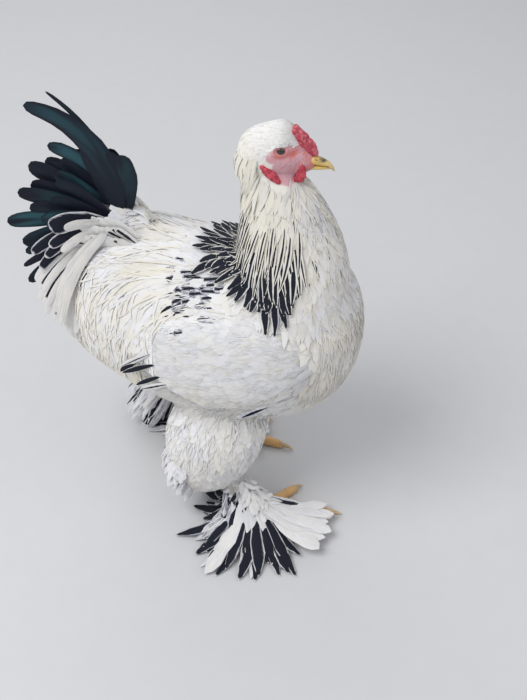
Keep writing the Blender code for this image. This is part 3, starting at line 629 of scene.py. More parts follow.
def add_vanes(name, paths, half, coat, face, material=plumage, slot="plumage_white", columns=3, camber=0.16,
              ragged=0.0, along=ROWS, soft=0.0, ground=None, seed=1):
    """One object of many closed vanes.

    paths holds arrays of vanes by rows by 3: the middle line, the way across and the way out. half
    holds the half widths there, coat the three numbers of the material, and face the skin's face at
    each root. soft turns the shading towards ground, the skin's own way out at each root."""
    path, across, out = paths
    count, rows, _ = path.shape
    draw = np.random.default_rng(seed)
    spread = np.linspace(-1, 1, columns)
    inner = slice(1, rows - 1)
    wide = half[:, inner, None] * (1 + ragged * draw.uniform(-1, 1, (count, rows - 2, columns)))
    arch = half[:, inner, None] * (1 - spread**2) * camber + VANE_THICKNESS * (1 - np.abs(spread))
    points = (path[:, inner, None, :] + across[:, inner, None, :] * (wide * spread)[..., None]
              + out[:, inner, None, :] * arch[..., None])
    points = np.concatenate([path[:, :1], points.reshape(count, -1, 3), path[:, -1:]], 1)
    lean = out[:, inner, None, :] + across[:, inner, None, :] * (spread * camber * 1.6)[:, None]
    normals = np.concatenate([out[:, :1], lean.reshape(count, -1, 3), out[:, -1:]], 1)
    if ground is not None:
        normals = unit(normals) * (1 - soft) + ground[:, None, :] * soft
    per = points.shape[1]
    top, under = vane_faces(rows, columns)
    faces = (np.concatenate([top, under])[None] + (np.arange(count) * per)[:, None, None]).reshape(-1, 3)
    points, normals = points.reshape(-1, 3), unit(normals).reshape(-1, 3)
    is_top = np.tile(np.concatenate([np.ones(len(top)), -np.ones(len(under))]), count)
    a, b, c = (points[faces[:, k]] for k in range(3))
    agree = np.einsum("ij,ij->i", np.cross(b - a, c - a), normals[faces].mean(1)) * is_top
    if agree.sum() < 0:
        faces = faces[:, ::-1]
    made = piece(name, points, faces, material)
    mesh = made.data
    mesh.normals_split_custom_set((normals[faces] * is_top[:, None, None]).reshape(-1, 3).tolist())
    across_value = np.concatenate([[0.0], np.tile(spread, rows - 2), [0.0]])
    along_value = np.concatenate([[along[0]], np.repeat(along[1:-1], columns), [along[-1]]])
    own = np.repeat(draw.uniform(0, 1, count), per)
    set_attribute(mesh, "vane", np.stack([np.tile(across_value, count), np.tile(along_value, count), own], 1))
    set_attribute(mesh, "coat", np.repeat(coat, per, axis=0))
    mesh.uv_layers.new(name="OFBake")
    patch = np.stack([across_value * PATCH / 2, (along_value - 0.5) * PATCH], 1)
    uv = (skin_uv[face][:, None, :] + patch[None]).reshape(-1, 2)
    mesh.uv_layers["OFBake"].data.foreach_set("uv", uv[faces.ravel()].astype(np.float32).ravel())
    return made


def add_bunch(name, vanes, **settings):
    """Vanes from a list with the three paths, half widths and coat of each one."""
    paths, half, coat = (np.array(some) for some in zip(*vanes))
    paths = paths.transpose(1, 0, 2, 3)
    return add_vanes(name, paths, half, coat, nearest(body, paths[0][:, 0])[2], **settings)


def framed(path, out):
    """A path with its way across, square to it and to out, and its own way out."""
    forward = unit(np.gradient(path, axis=-2))
    across = unit(np.cross(forward, out))
    return path, across, unit(np.cross(across, forward))


def scattered(mask, spacing, seed, surface=body):
    """Evenly spread places on a surface, on the faces that mask allows: points, normals and faces."""
    draw = np.random.default_rng(seed)
    chosen = np.flatnonzero(mask)
    a, b, c = (surface.points[surface.faces[chosen, k]] for k in range(3))
    area = np.linalg.norm(np.cross(b - a, c - a), axis=1) / 2
    tries = int(area.sum() / spacing**2 * 5)
    pick = draw.choice(len(chosen), tries, p=area / area.sum())
    u, v = draw.uniform(0, 1, (2, tries))
    flip = u + v > 1
    u, v = np.where(flip, 1 - u, u), np.where(flip, 1 - v, v)
    points = a[pick] + (b - a)[pick] * u[:, None] + (c - a)[pick] * v[:, None]
    cells, kept = {}, []
    around = [(x, y, z) for x in (-1, 0, 1) for y in (-1, 0, 1) for z in (-1, 0, 1)]
    for i, (key, place) in enumerate(zip(np.floor(points / spacing).astype(int).tolist(), points.tolist())):
        near = (other for x, y, z in around for other in cells.get((key[0] + x, key[1] + y, key[2] + z), ()))
        if all(dist(place, other) > spacing for other in near):
            cells.setdefault(tuple(key), []).append(place)
            kept.append(i)
    faces = chosen[pick[kept]]
    return points[kept], unit(surface.normals[surface.faces[faces]].mean(1)), faces + surface.first


def laid(points, normals, aim, length, rise, along, draw, yaw, curl, jitter, surface):
    """Paths that run over the body from points along aim, a field of directions, lifting off by rise."""
    count, rows = len(points), len(along)
    turn = np.radians(draw.normal(0, yaw, count))
    bend = np.radians(draw.normal(0, curl, count)) if curl else np.zeros(count)
    paths = np.empty((3, count, rows, 3))
    place, way_out = points.copy(), normals.copy()
    heights = np.interp(along, (0, 0.35, 1), rise)
    lift = 1 + jitter * draw.uniform(-1, 1, count)
    for k in range(rows):
        way = aim(place)
        way = unit(way - way_out * np.einsum("ij,ij->i", way, way_out)[:, None])
        side = np.cross(way, way_out)
        angle = turn + bend * along[k]
        way = way * np.cos(angle)[:, None] + side * np.sin(angle)[:, None]
        paths[0, :, k] = place + way_out * (heights[k] * np.where(heights[k] > 0, lift, 1))[:, None]
        paths[1, :, k] = np.cross(way, way_out)
        if k < rows - 1:
            step = place + way * (length * (along[k + 1] - along[k]))[:, None]
            place, new_out, _ = nearest(surface, step)
            way_out = unit(way_out * 0.3 + new_out * 0.7)
    forward = unit(np.gradient(paths[0], axis=1))
    across = paths[1]
    paths[1] = unit(across - forward * np.einsum("ijk,ijk->ij", across, forward)[..., None])
    paths[2] = unit(np.cross(paths[1], forward))
    return paths


# Where each kind of feather grows and how it lies

middles = body.middles
mid_x, mid_y, mid_z = middles.T


def nearest_forms():
    """The place in body_forms of the form that each face of the body's skin lies nearest to."""
    reach = np.full((len(body_forms), len(middles)), 9.0)
    for row, (points, faces) in enumerate(body_forms.values()):
        tree = BVHTree.FromPolygons(points.tolist(), faces.tolist())
        near = (middles > points.min(0) - 0.01) & (middles < points.max(0) + 0.01)
        for i in np.flatnonzero(near.all(1)):
            reach[row, i] = tree.find_nearest(middles[i].tolist())[3]
    return reach.argmin(0)


home = nearest_forms()


def of_form(*wanted):
    return np.isin(home, [list(body_forms).index(name) for name in wanted])


def body_way(points):
    """The lie of the body's feathers: back along the body, and down over the breast, flanks and rump."""
    x, y, z = points.T
    breast = ease(0.0, 0.085, x)
    rear = ease(-0.05, -0.15, x) * (0.12 + 0.88 * ease(0.372, 0.3, z))
    return np.stack([-1.0 + 0.6 * breast + 0.6 * rear, 0.15 * np.sign(y) * rear,
                     -0.28 - 1.3 * breast - 1.5 * rear], 1)


def neck_way(points):
    z = points[:, 2]
    middle = np.stack([0.012 + 0 * z, 0 * z, z], 1)
    return unit(points - middle) * (0.2 + 0.75 * ease(0.41, 0.355, z))[:, None] - Z


def down_way(points):
    return np.tile((-0.22, 0, -1.0), (len(points), 1))


def head_way(points):
    x, _, z = points.T
    back = np.maximum(ease(0.015, -0.03, x + 0.4 * (z - 0.49)), ease(0.472, 0.462, z))
    return np.stack([-1.0 + 0.75 * back, 0 * x, -0.25 - 0.9 * back], 1)


def wing_way(points):
    z = points[:, 2]
    return np.stack([-1.0 + 0 * z, 0 * z, -0.2 - 2.0 * (0.28 - z)], 1)


def coat_of(dark, cream, grey):
    return np.clip(np.stack(np.broadcast_arrays(dark, cream, grey), 1), 0, 1)


def cover(name, places, way, length, width, rise, coat, seed, shape=ROUNDED, yaw=9.0, curl=0.0, jitter=0.25,
          ragged=0.15, soft=0.72, camber=0.14, columns=3, surface=body, vary=(0.0, 0.16, 0.1)):
    """Lays one vane from each place, in one object. vary is how much the colours differ between vanes."""
    points, normals, faces = places
    draw = np.random.default_rng(seed)
    length = length * draw.uniform(0.8, 1.18, len(points))
    width = width * draw.uniform(0.85, 1.15, len(points))
    coat = np.clip(coat + vary * draw.uniform(-1, 1, (len(points), 3)), 0, 1)
    profile, along = shape
    paths = laid(points, normals, way, length, rise, along, draw, yaw, curl, jitter, surface)
    add_vanes(name, paths, np.outer(width / 2, profile), coat, faces, columns=columns, camber=camber,
              ragged=ragged, along=along, soft=soft, ground=normals, seed=seed)


def hackle_zone(points, size):
    """Whether points lie below the hackle, where it covers shorter feathers."""
    return np.linalg.norm((points - (0.018, 0, 0.35)) * (1, 1, 0.75), axis=1) < size


def shoulder_specks(points, side):
    """Dark tips here and there on the shoulder, behind the hackle."""
    near = beside(points, (-0.062, side * 0.078, 0.342), (0.9, 0.6, 1.1), 0.052)
    return 0.32 * (waves(points, 0.011, 6) + 1.4 * near > 1.0) * (near > 0)


def body_plumage(word, side):
    """The short, soft feathers of one side of the body."""
    places = scattered(of_form("torso") & ~hackle_zone(middles, 0.074) & (mid_y * side >= 0), 0.005, 21)
    points = places[0]
    x, _, z = points.T
    rear, breast = ease(-0.09, -0.18, x), ease(0.02, 0.07, x)
    specks = shoulder_specks(points, side)
    grey = np.maximum(0.11 + 0.25 * waves(points, 0.05, 4) - 0.08 * breast, 3.4 * specks)
    cream = 0.28 + 0.3 * rear + 0.35 * breast + 0.25 * waves(points, 0.09, 14)
    cream = cream - 0.3 * ease(0.335, 0.365, z)
    cover("body_feathers_" + word, places, body_way, 0.034 + 0.012 * rear, 0.0132 - 0.002 * rear,
          (-0.0008, 0.0009, 0.0022), coat_of(specks, cream, grey), 22, soft=0.88, camber=0.07)


def saddle_plumage():
    """Long pointed feathers that sweep back from the loins and hang over the rump."""
    mask = of_form("torso", "tail") & (mid_x < -0.08) & (mid_z > 0.25) & ~((mid_z > 0.38) & (mid_x < -0.172))
    places = scattered(mask, 0.006, 31)
    points = places[0]
    x, _, z = points.T
    root = ease(0.056, 0.02, np.linalg.norm((points - TAIL_ROOT) * (1, 0.6, 1), axis=1))
    near_tail = ease(0.355, 0.372, z) * ease(-0.105, -0.15, x)
    dark = 0.72 * (root * (0.9 + waves(points, 0.02, 7)) > 0.4) * (near_tail < 0.3)
    cream = 0.58 + 0.5 * waves(points, 0.05, 8) - 0.3 * root - 0.4 * ease(0.335, 0.375, z)
    grey = 0.06 + 0.5 * root + 0.2 * waves(points, 0.03, 9)
    cover("saddle_feathers", places, body_way, (0.086 - 0.03 * root) * (1 - 0.6 * near_tail), 0.0116,
          (-0.001, 0.002, 0.0034), coat_of(dark, cream, grey), 32, LONG, yaw=7, curl=12, jitter=0.15,
          ragged=0.1, soft=0.88, camber=0.06, vary=(0.1, 0.4, 0.16))


def neck_plumage():
    """Fine cream feathers down the neck."""
    places = scattered(of_form("neck") & (mid_z > 0.33), 0.004, 41)
    clear = bareness(places[0]) < 0.35
    places = tuple(part[clear] for part in places)
    points = places[0]
    z = points[:, 2]
    low = ease(0.44, 0.37, z)
    front = ease(75, 40, round_the_neck(points))
    streak = 0.3 * (waves(points, 0.008, 43) > 0.72) * ease(0.452, 0.425, z)
    # painted shade: greyer on the front of the neck just below the head
    throat_shade = front * falloff(np.abs(z - 0.44), 0.022)
    dark = np.maximum(0.62 * (cape(points) > 0.5), streak * (1 - 0.8 * front * low)) * (z > 0.375)
    flank = beside(np.abs(points), (0.05, 0.048, 0.404), (1, 1, 0.7), 0.022)
    dark = np.maximum(dark, 0.42 * (flank * (1.2 + waves(points, 0.01, 47)) > 0.65))
    cream = (0.85 - 0.35 * front) * (0.35 + 0.65 * ease(0.35, 0.385, z))
    grey = 0.1 + 0.62 * throat_shade + 0.12 * waves(points, 0.03, 44)
    cover("neck_feathers", places, neck_way, 0.03 + 0.01 * low, 0.006 + 0.0034 * low,
          (-0.001, 0.0018, 0.0032), coat_of(dark, cream, grey), 42, LONG, yaw=5, curl=8, jitter=0.15,
          ragged=0.08, soft=0.88, camber=0.08, vary=(0.0, 0.3, 0.12))


# The lowest height that the hackle springs from, by the angle round the neck.
HACKLE_EDGE = ((54, 58, 62, 70, 80, 90, 100, 115, 130, 180),
               (0.44, 0.415, 0.402, 0.388, 0.368, 0.349, 0.352, 0.362, 0.364, 0.352))


def hackle_plumage():
    """Long pointed black feathers with white edges, which hang over the shoulders."""
    mask = of_form("neck", "torso") & hackle_zone(middles, 0.084) & (mid_z < 0.432)
    places = scattered(mask & (mid_z > np.interp(round_the_neck(middles), *HACKLE_EDGE)), 0.0072, 45)
    upper = ease(0.375, 0.42, places[0][:, 2])
    turn = round_the_neck(places[0])
    flank = ease(64, 76, turn) * ease(115, 98, turn) * (1 - upper)
    length = (0.05 + 0.022 * upper - 0.002 * ease(95, 120, turn) + 0.008 * flank
              - 0.016 * ease(135, 165, turn))
    cover("hackle_feathers", places, neck_way, length, 0.0102 - 0.004 * upper, (-0.001, 0.0052, 0.0076),
          coat_of(0.84 - 0.44 * upper, 0.25 + 0.5 * upper, 0.05), 46, LONG, yaw=4, curl=10, jitter=0.1,
          ragged=0.05, soft=0.7, columns=5, camber=0.08, vary=(0.04, 0.16, 0.1))


def head_plumage():
    """Tiny feathers on the head, and longer ones that run from it down the nape."""
    x, _, z = head.middles.T
    mask = (bareness(head.middles) < 0.4) & (x < 0.038) & (z > 0.452) & ~((x > 0.02) & (z < 0.496))
    places = scattered(mask, 0.0018, 51, head)
    x, _, z = places[0].T
    under = ease(0.472, 0.462, z)
    back = np.maximum(ease(0.02, -0.02, x + 0.9 * (z - 0.485)), under)
    # painted shade: greyer below the jaw, under the head
    grey = 0.04 + 0.3 * under + 0.06 * waves(places[0], 0.02, 53)
    cover("head_feathers", places, head_way, 0.0076 + 0.012 * back, 0.0032 + 0.0012 * back,
          (-0.0004, 0.0002, 0.0008), coat_of(0 * back, 0.25 + 0.5 * back, grey), 52, POINTED, soft=0.95,
          camber=0.05, surface=head)
    mask = of_form("head", "neck") & (mid_x < -0.012) & (mid_z > 0.452) & (mid_z < 0.496)
    places = scattered(mask, 0.003, 55)
    cover("nape_feathers", places, head_way, 0.036, 0.0048, (-0.0006, 0.0042, 0.0058),
          coat_of(np.zeros(len(places[0])), 0.8, 0.08), 54, LONG, yaw=5, curl=8, jitter=0.2, ragged=0.08,
          soft=0.85, camber=0.08)


def thigh_plumage():
    places = scattered(of_form("thigh_right", "thigh_left"), 0.0044, 61)
    grey = 0.06 + 0.16 * waves(places[0], 0.04, 62)
    cover("thigh_feathers", places, down_way, 0.03, 0.0104, (-0.001, 0.0016, 0.0034),
          coat_of(0 * grey, 0.3 + 0.25 * waves(places[0], 0.05, 63), grey), 64, POINTED, ragged=0.3, yaw=14,
          curl=26, soft=0.92, camber=0.06)


def wing_plumage(word, side):
    places = scattered(of_form("wing_" + word) & ~hackle_zone(middles, 0.076), 0.005, 71)
    specks = shoulder_specks(places[0], side)
    grey = np.maximum(0.1 + 0.28 * waves(places[0], 0.03, 72), 3.4 * specks)
    cream = 0.15 + 0.45 * ease(0.27, 0.22, places[0][:, 2])
    cover("wing_feathers_" + word, places, wing_way, 0.034, 0.0112, (-0.0008, 0.0008, 0.002),
          coat_of(specks, cream, grey), 74, ragged=0.12, yaw=7, soft=0.9, camber=0.07)


# Quills that show past the wing, in millimetres and degrees: the x and z of the root, length, width,
# how far off the body, drop, and how dark.
PRIMARIES = np.array([
    (-118, 262, 50, 8, 0, 24, 0.92), (-134, 268, 42, 9, 0, 40, 1.4), (-112, 246, 40, 6, 0, 30, 1.4),
    (-100, 238, 46, 8, 0, 22, 0.3), (-122, 276, 50, 8, 0, 30, 0.2), (16, 222, 34, 8, 5, 22, 0.48),
    (12, 216, 36, 8, 4, 16, 0.0),
]) / (1000, 1000, 1000, 1000, 1000, 1, 1)


def primaries(word, side):
    """A few stiff quills whose dark ends show past the wing's soft feathers."""
    vanes = []
    for x, z, length, width, off, drop, dark in PRIMARIES:
        way = np.array([-cos(radians(drop)), 0, -sin(radians(drop))])
        run = (np.array([x, 0, z]) + way * (length * LONG_ROWS)[:, None]
               - Z * (0.2 * length * LONG_ROWS**2)[:, None])
        run[:, 1] = [side * (torso_half_width(px, pz) + 0.0045 + off + 0.004 * r)
                     for (px, _, pz), r in zip(run, LONG_ROWS)]
        vanes.append((framed(run, Y * side), LONG[0] * width / 2, (dark, 0.2, 0.1 if off == 0 else 0.8)))
    add_bunch("primaries_" + word, vanes, columns=5, along=LONG_ROWS, seed=75)


def cuff_plumage():
    places = scattered(of_form("cuff_right", "cuff_left"), 0.0044, 81)
    x, y, z = places[0].T
    front = sum((y * side > 0) * ease(-0.002, 0.008, x - STEP_BACK[word] - 0.012 + 0.62 * z)
                for word, side in SIDES)
    dark = 0.85 * (waves(places[0], 0.022, 82) - 1.6 * front > -0.45)
    cover("cuff_feathers", places, down_way, 0.028, 0.0068, (-0.001, 0.0022, 0.005),
          coat_of(dark, 0.2, 0.1 + 0.8 * (1 - front)), 84, POINTED, ragged=0.25, yaw=16, curl=20)


def strands():
    """Fine loose barbs over the plumage, which blur the edges of its feathers."""
    clear = ~hackle_zone(middles, 0.092)
    saddle = of_form("torso", "tail") & (mid_x < -0.085) & (mid_z > 0.245)
    saddle &= ~((mid_z > 0.366) & (mid_x < -0.13))
    front = of_form("neck", "torso") & (mid_z > 0.22) & (round_the_neck(middles) < 62) & (mid_x > 0.02)
    for name, mask, way, spacing, length, width, rise, cream, grey in (
            ("thigh", of_form("thigh_right", "thigh_left"), down_way, 0.0034, 0.028, 0.0018,
             (0.0006, 0.0026, 0.0042), 0.3, 0.1),
            ("body", of_form("torso") & clear, body_way, 0.0046, 0.034, 0.0017,
             (0.0004, 0.0015, 0.0029), 0.4, 0.12),
            ("wing", of_form("wing_right", "wing_left") & clear, wing_way, 0.0036, 0.032, 0.0018,
             (0.0004, 0.0014, 0.0027), 0.25, 0.2),
            ("saddle", saddle, body_way, 0.0062, 0.07, 0.003, (0.0006, 0.0028, 0.0042), 0.55, 0.06),
            ("breast", front, neck_way, 0.0038, 0.034, 0.0017, (0.0006, 0.0024, 0.0036), 0.6, 0.12)):
        places = scattered(mask, spacing, 86)
        shade = grey + 0.2 * waves(places[0], 0.03, 87)
        cover(name + "_down", places, way, length, width, rise, coat_of(0 * shade, cream, shade), 88, STRAND,
              yaw=10, curl=26, jitter=0.2, ragged=0.0, soft=0.95, camber=0.1, vary=(0, 0.4, 0.15))


# Tail feathers of each side, in millimetres and degrees: how far the tip lies from the tail's root and
# how high above straight back, how much the feather bends, its width, how far out its root and tip
# are, and its colour: up to one the width of its black middle, above one how strong its painted teal sheen
# is.
TAIL_UNITS = np.array((1000, 1, 1, 1000, 1000, 1000, 1))
TAIL_FEATHERS = np.array([
    (80, 92, 20, 24, 2, 4, 1.1), (86, 82, 24, 26, 3, 5, 1.1), (92, 70, 30, 28, 4, 6, 1.05),
    (92, 60, 40, 30, 5, 7, 1.05), (98, 30, 26, 30, 5, 10, 1.05), (96, 14, 22, 30, 6, 12, 1.1),
    (96, -4, 18, 28, 8, 16, 1.1), (92, -20, 16, 26, 10, 20, 1.05), (50, 66, 30, 36, 3, 5, 1.02),
    (50, 34, 30, 36, 4, 6, 1.02), (92, 49, 36, 26, 6, 10, 1.25), (100, 37, 30, 25, 7, 8, 1.1),
    (116, 31, 26, 24, 9, 12, 1.15), (86, 42, 26, 21, 10, 20, 2.0), (104, 22, 22, 24, 12, 20, 1.1),
    (114, 17, 20, 20, 14, 30, 2.0), (98, 8, 20, 21, 14, 30, 1.2), (125, -2, 18, 20, 15, 36, 1.9),
    (111, -15, 18, 19, 17, 40, 1.45), (112, -21, 16, 14, 19, 42, 1.4), (123, -28, 12, 9, 20, 45, 1.1),
    (131, -37, 12, 15, 20, 46, 1.15), (90, 98, 44, 32, 13, 20, 1.35), (92, 90, 34, 28, 14, 21, 1.05),
    (100, 76, 34, 28, 14, 21, 1.05), (166, 58, 100, 30, 17, 26, 1.55), (114, 51, 88, 18, 10, 14, 2.0),
    (80, 40, 56, 14, 22, 30, 1.15), (74, 26, 40, 14, 23, 36, 1.1), (78, 6, 52, 16, 26, 44, 1.8),
    (64, 5, 64, 24, 28, 55, 0.88), (46, 12, 56, 12, 30, 58, 0.0), (98, -20, 48, 14, 26, 52, 0.88),
    (102, -33, 44, 13, 26, 50, 0.86), (84, -26, 46, 13, 28, 52, 0.84), (70, -16, 48, 14, 29, 55, 0.82),
    (58, -24, 44, 10, 30, 56, 0.0), (118, -58, 50, 12, 40, 64, 0.0), (138, -63, 40, 13, 43, 68, 0.0),
]) / TAIL_UNITS
THIN_SICKLE = np.array((160, 60, 56, 8.5, 14, 18, 1.1)) / TAIL_UNITS
SICKLE_REACH = 0.15
TAIL_ROWS = np.array([0, 0.05, 0.14, 0.24, 0.34, 0.44, 0.54, 0.64, 0.73, 0.81, 0.88, 0.94, 0.98, 1.0])
TAIL_PROFILE = np.array([0, 0.62, 0.76, 0.86, 0.93, 0.97, 1.0, 1.03, 1.04, 1.02, 0.95, 0.8, 0.54, 0.0])
SICKLE_PROFILE = np.array([0, 0.4, 0.7, 0.88, 1.0, 1.02, 0.98, 0.9, 0.82, 0.74, 0.66, 0.54, 0.36, 0.0])


def bent_path(root, reach, rise, bend, tip_out, side, rows):
    """A path in a nearly upright plane that bends evenly from its root to a tip at a distance."""
    angle = np.radians(rise + bend * (0.5 - rows))
    steps = np.diff(rows, prepend=rows[0])
    middle = np.radians(rise + bend * (0.5 - (rows - steps / 2)))
    run = np.cumsum(steps[:, None] * np.stack([-np.cos(middle), 0 * middle, np.sin(middle)], 1), axis=0)
    run *= reach / np.linalg.norm(run[-1])
    path = root + run
    path[:, 1] = root[1] + (side * tip_out - root[1]) * rows**1.2
    across = np.stack([np.sin(angle), 0 * angle, np.cos(angle)], 1)
    out = unit(np.cross(unit(np.gradient(path, axis=0)), across))
    out *= np.sign(out[:, 1:2] * side)
    return path, across, out


def light_tail_rows(word):
    """The light feathers about the tail: over its root, and hanging below it over the rump."""
    draw = np.random.default_rng(95)
    rows = []
    for layer in range(3):
        for t in np.linspace(0, 1, 13) + draw.uniform(-0.03, 0.03, 13):
            rows.append((0.056 - 0.02 * t - 0.004 * layer, 6 + 32 * t + draw.uniform(-6, 6), 8, 0.0105,
                         0.033 + 0.002 * layer, 0.037 + 0.003 * layer, 0.35 * (draw.uniform() < 0.3),
                         0.034 * t, -0.003 - 0.004 * t - 0.009 * layer))
    for t in np.linspace(0, 1, 24):
        reach = np.interp(t, (0, 0.2, 0.4, 0.6, 1), (0.116, 0.136, 0.15, 0.15, 0.12))
        rows.append((reach * (1 - 0.14 * draw.uniform()), -34 - 44 * t, 42, 0.0105, 0.031 + 0.012 * t,
                     0.048 + 0.018 * t, 0.4 * (draw.uniform() < 0.4), 0.024 * t, -0.004 - 0.018 * t))
    return [row for row in rows if word == "right" or row[1] < 22]


def tail_plumage(word, side):
    """One side of the tail; on the left the sickle is thin and the upright feathers are shorter."""
    rows = TAIL_FEATHERS
    if word == "left":
        rows = [row if row[0] < SICKLE_REACH else THIN_SICKLE for row in rows
                if row[2] < 80 or row[0] > SICKLE_REACH]
    glossy, coverts = [], []
    for reach, rise, bend, width, root_out, tip_out, dark, ahead, up in (
            [(*row, 0, 0) for row in rows] + light_tail_rows(word)):
        if word == "left" and 65 < rise:
            reach, rise = reach - 0.026, min(rise, 86)
        elif word == "left" and 25 < rise and reach < SICKLE_REACH:
            reach = reach * 0.9
        profile = SICKLE_PROFILE if reach > SICKLE_REACH else TAIL_PROFILE
        coat = (dark, 0.2 if dark > 0 else 0.7, 0.5)
        if up < 0:
            coat = (dark, 0.4, 0.26)
        elif dark > 1:
            # Glossy vanes: the third number sets how strong their painted teal sheen is.
            coat = (1.4, 0.2, dark - 1)
        root = TAIL_ROOT + (ahead, side * root_out, up)
        path = bent_path(root, reach, rise, bend, tip_out, side, TAIL_ROWS)
        (glossy if dark > 1 else coverts).append((path, profile * width / 2, coat))
    for name, vanes, material in (("tail_feathers_", glossy, tail_vanes),
                                  ("tail_coverts_", coverts, plumage)):
        made = add_bunch(name + word, vanes, material=material, slot="plumage_black", columns=7, camber=0.14,
                         ragged=0.04, along=TAIL_ROWS, seed=93)
        if name + word == "tail_feathers_right":
            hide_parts("tail")


# Boots, by tier: count, height of the roots, reach from the foot's middle, width, lowest angle from
# straight ahead outwards and the highest.
BOOT_TIERS = ((34, 0.02, 0.11, 0.015, -30, 192), (32, 0.032, 0.098, 0.014, -46, 204),
              (30, 0.046, 0.078, 0.0125, -60, 215), (30, 0.06, 0.058, 0.011, -80, 230),
              (26, 0.072, 0.042, 0.0095, -90, 250))
BOOT_FLOOR = 0.0016
CLAW_CLEAR = 0.011
# The one long white feather: its tier and place in it, its angle and its reach.
LONG_WHITE = (1, 17)
LONG_WHITE_ANGLE = 110
LONG_WHITE_REACH = 0.13


def boot_marks(angle, tier, draw):
    """How wide the dark middle of a boot feather is, and how grey it is."""
    chance, odds = draw.uniform(), draw.uniform()
    if angle < 50:
        return 0.45 * (chance < 0.12), 0.15 + 0.15 * odds
    if angle < 104:
        return (0.88 * (chance < 0.85) if tier < 2 else 0.5 * (chance < 0.15)), 0.25 + 0.2 * odds
    if angle < 130 and tier < 2:
        return 0.85 * (chance < 0.3), 0.2 + 0.2 * odds
    return 0.86 * (chance < 0.5), 0.75 + 0.3 * odds


def boot_plumage(word, side):
    """Vanes that spring from the shank and fan out over the floor and the toes."""
    draw = np.random.default_rng(101 if side < 0 else 103)
    foot = (FOOT + (STEP_BACK[word], 0, 0)) * (1, side, 0)
    rows = LONG_ROWS
    cuff = spline(CUFF, 8)
    vanes = []
    for tier, (count, height, reach, width, first, last) in enumerate(BOOT_TIERS):
        _, x, y, along_x, along_y = cuff[np.abs(cuff[:, 0] - height).argmin()]
        first = max(first, -6) if word == "right" else first
        for k, angle in enumerate(np.linspace(first, last, count) + draw.uniform(-4, 4, count)):
            long_white = word == "right" and (tier, k) == LONG_WHITE
            angle = LONG_WHITE_ANGLE if long_white else angle
            a = np.radians(angle)
            way = np.array([cos(a), sin(a) * side, 0])
            root = foot + (x, y * side, 0) + way * (along_x - 0.004, along_y - 0.004, 0) + Z * height
            front = angle < 48
            far = reach * draw.uniform(0.88, 1.1)
            for share, here in ((0.62, front and word == "left"), (0.9, front), (0.72, 38 < angle < 50),
                                (1.06, 56 < angle < 118 and tier < 2),
                                (0.76, 148 < angle and word == "right")):
                far *= share if here else 1.0
            tip = foot + way * (LONG_WHITE_REACH if long_white else far)
            low = BOOT_FLOOR + 0.0016 * tier + draw.uniform(0, 0.003)
            low += CLAW_CLEAR if -62 < angle < 42 else 0
            run = root + (tip - root) * rows[:, None]
            run[:, 2] = low + (height - low) * (1 - rows) ** 1.7
            run += np.array([-way[1], way[0], 0]) * (draw.uniform(-0.008, 0.008) * rows**2)[:, None]
            profile = (BROAD if front or long_white or tier > 1 else LONG)[0]
            profile = profile * (1.5 if long_white else 1.25 if front else 1.0)
            half = profile * width * draw.uniform(0.8, 1.15) / 2
            dark, grey = boot_marks(angle, tier, draw)
            coat = (0 if long_white else dark, 0.15 + 0.2 * draw.uniform(), grey)
            vanes.append((framed(run, Z), half, coat))
    made = add_bunch("boot_feathers_" + word, vanes, columns=5, camber=0.13, ragged=0.22, along=rows,
                     seed=105)
    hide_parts("shank_" + word)


def hock_plumage(word, side, size, edge, lean):
    """Longer feathers that hang from the back of a thigh, behind its middle by edge, leaning back."""
    mask = of_form("thigh_" + word) & (mid_z < 0.11) & (mid_y * side > 0)
    mask &= mid_x < THIGH[3][1] + STEP_BACK[word] * 0.9 - edge
    points, normals, faces = scattered(mask, 0.0058, 111)
    grey = 0.4 + 0.4 * waves(points, 0.02, 112)
    dark = 0.5 * (waves(points, 0.015, 113) > 0.62) * ((points[:, 2] < 0.085) | (word == "left"))
    draw = np.random.default_rng(114)
    length = size * draw.uniform(0.7, 1.1, len(points))
    way = unit(np.array((lean, 0.1 * side, -0.8)) + normals * 0.35)
    path = points[:, None, :] + way[:, None, :] * (length[:, None] * LONG_ROWS)[..., None]
    path -= Z * (length[:, None] * 0.25 * LONG_ROWS**2)[..., None]
    path[:, :, 2] = np.maximum(path[:, :, 2], BOOT_FLOOR + 0.002)
    path[:, 0] -= normals * 0.001
    half = np.outer(0.0105 * draw.uniform(0.8, 1.2, len(points)) / 2, LONG[0])
    add_vanes("hock_feathers_" + word, framed(path, normals[:, None, :]), half, coat_of(dark, 0.2, grey),
              faces, ragged=0.25, along=LONG_ROWS, seed=115)


def both_sides(*makers):
    for make in makers:
        for word, side in SIDES:
            make(word, side)


both_sides(body_plumage)
saddle_plumage()
neck_plumage()
hackle_plumage()
head_plumage()
thigh_plumage()
both_sides(wing_plumage, primaries)
cuff_plumage()
strands()
both_sides(tail_plumage, boot_plumage)
hock_plumage("right", -1, size=0.022, edge=0.02, lean=-0.25)
hock_plumage("left", 1, size=0.062, edge=0.014, lean=-0.55)


# Bare parts of the head

def flesh_material(name, deep, light):
    """Soft skin with small bumps, mottled in two reds: the deeper red lies in its folds as painted shade, and
    lighter flecks on the tops of the fine bumps are painted highlights.
    """
    look = Look(name, 0.42, Subsurface_Weight=0.12, Subsurface_Scale=0.002, Coat_Weight=0.15,
                Coat_Roughness=0.4)
    fine, broad = look.noise(1100.0), look.noise(260.0)
    # painted shade and highlight: the deeper red follows the low parts of the bump, the lighter flecks its
    # fine tops
    colour = look.mix(look.step(broad, 0.35, 0.7), deep, light)
    return look.finish(look.mix(look.step(fine, 0.5, 0.8, 0.0, 0.35), colour, light),
                       look.math("ADD", fine, broad), 0.5, 0.0007)


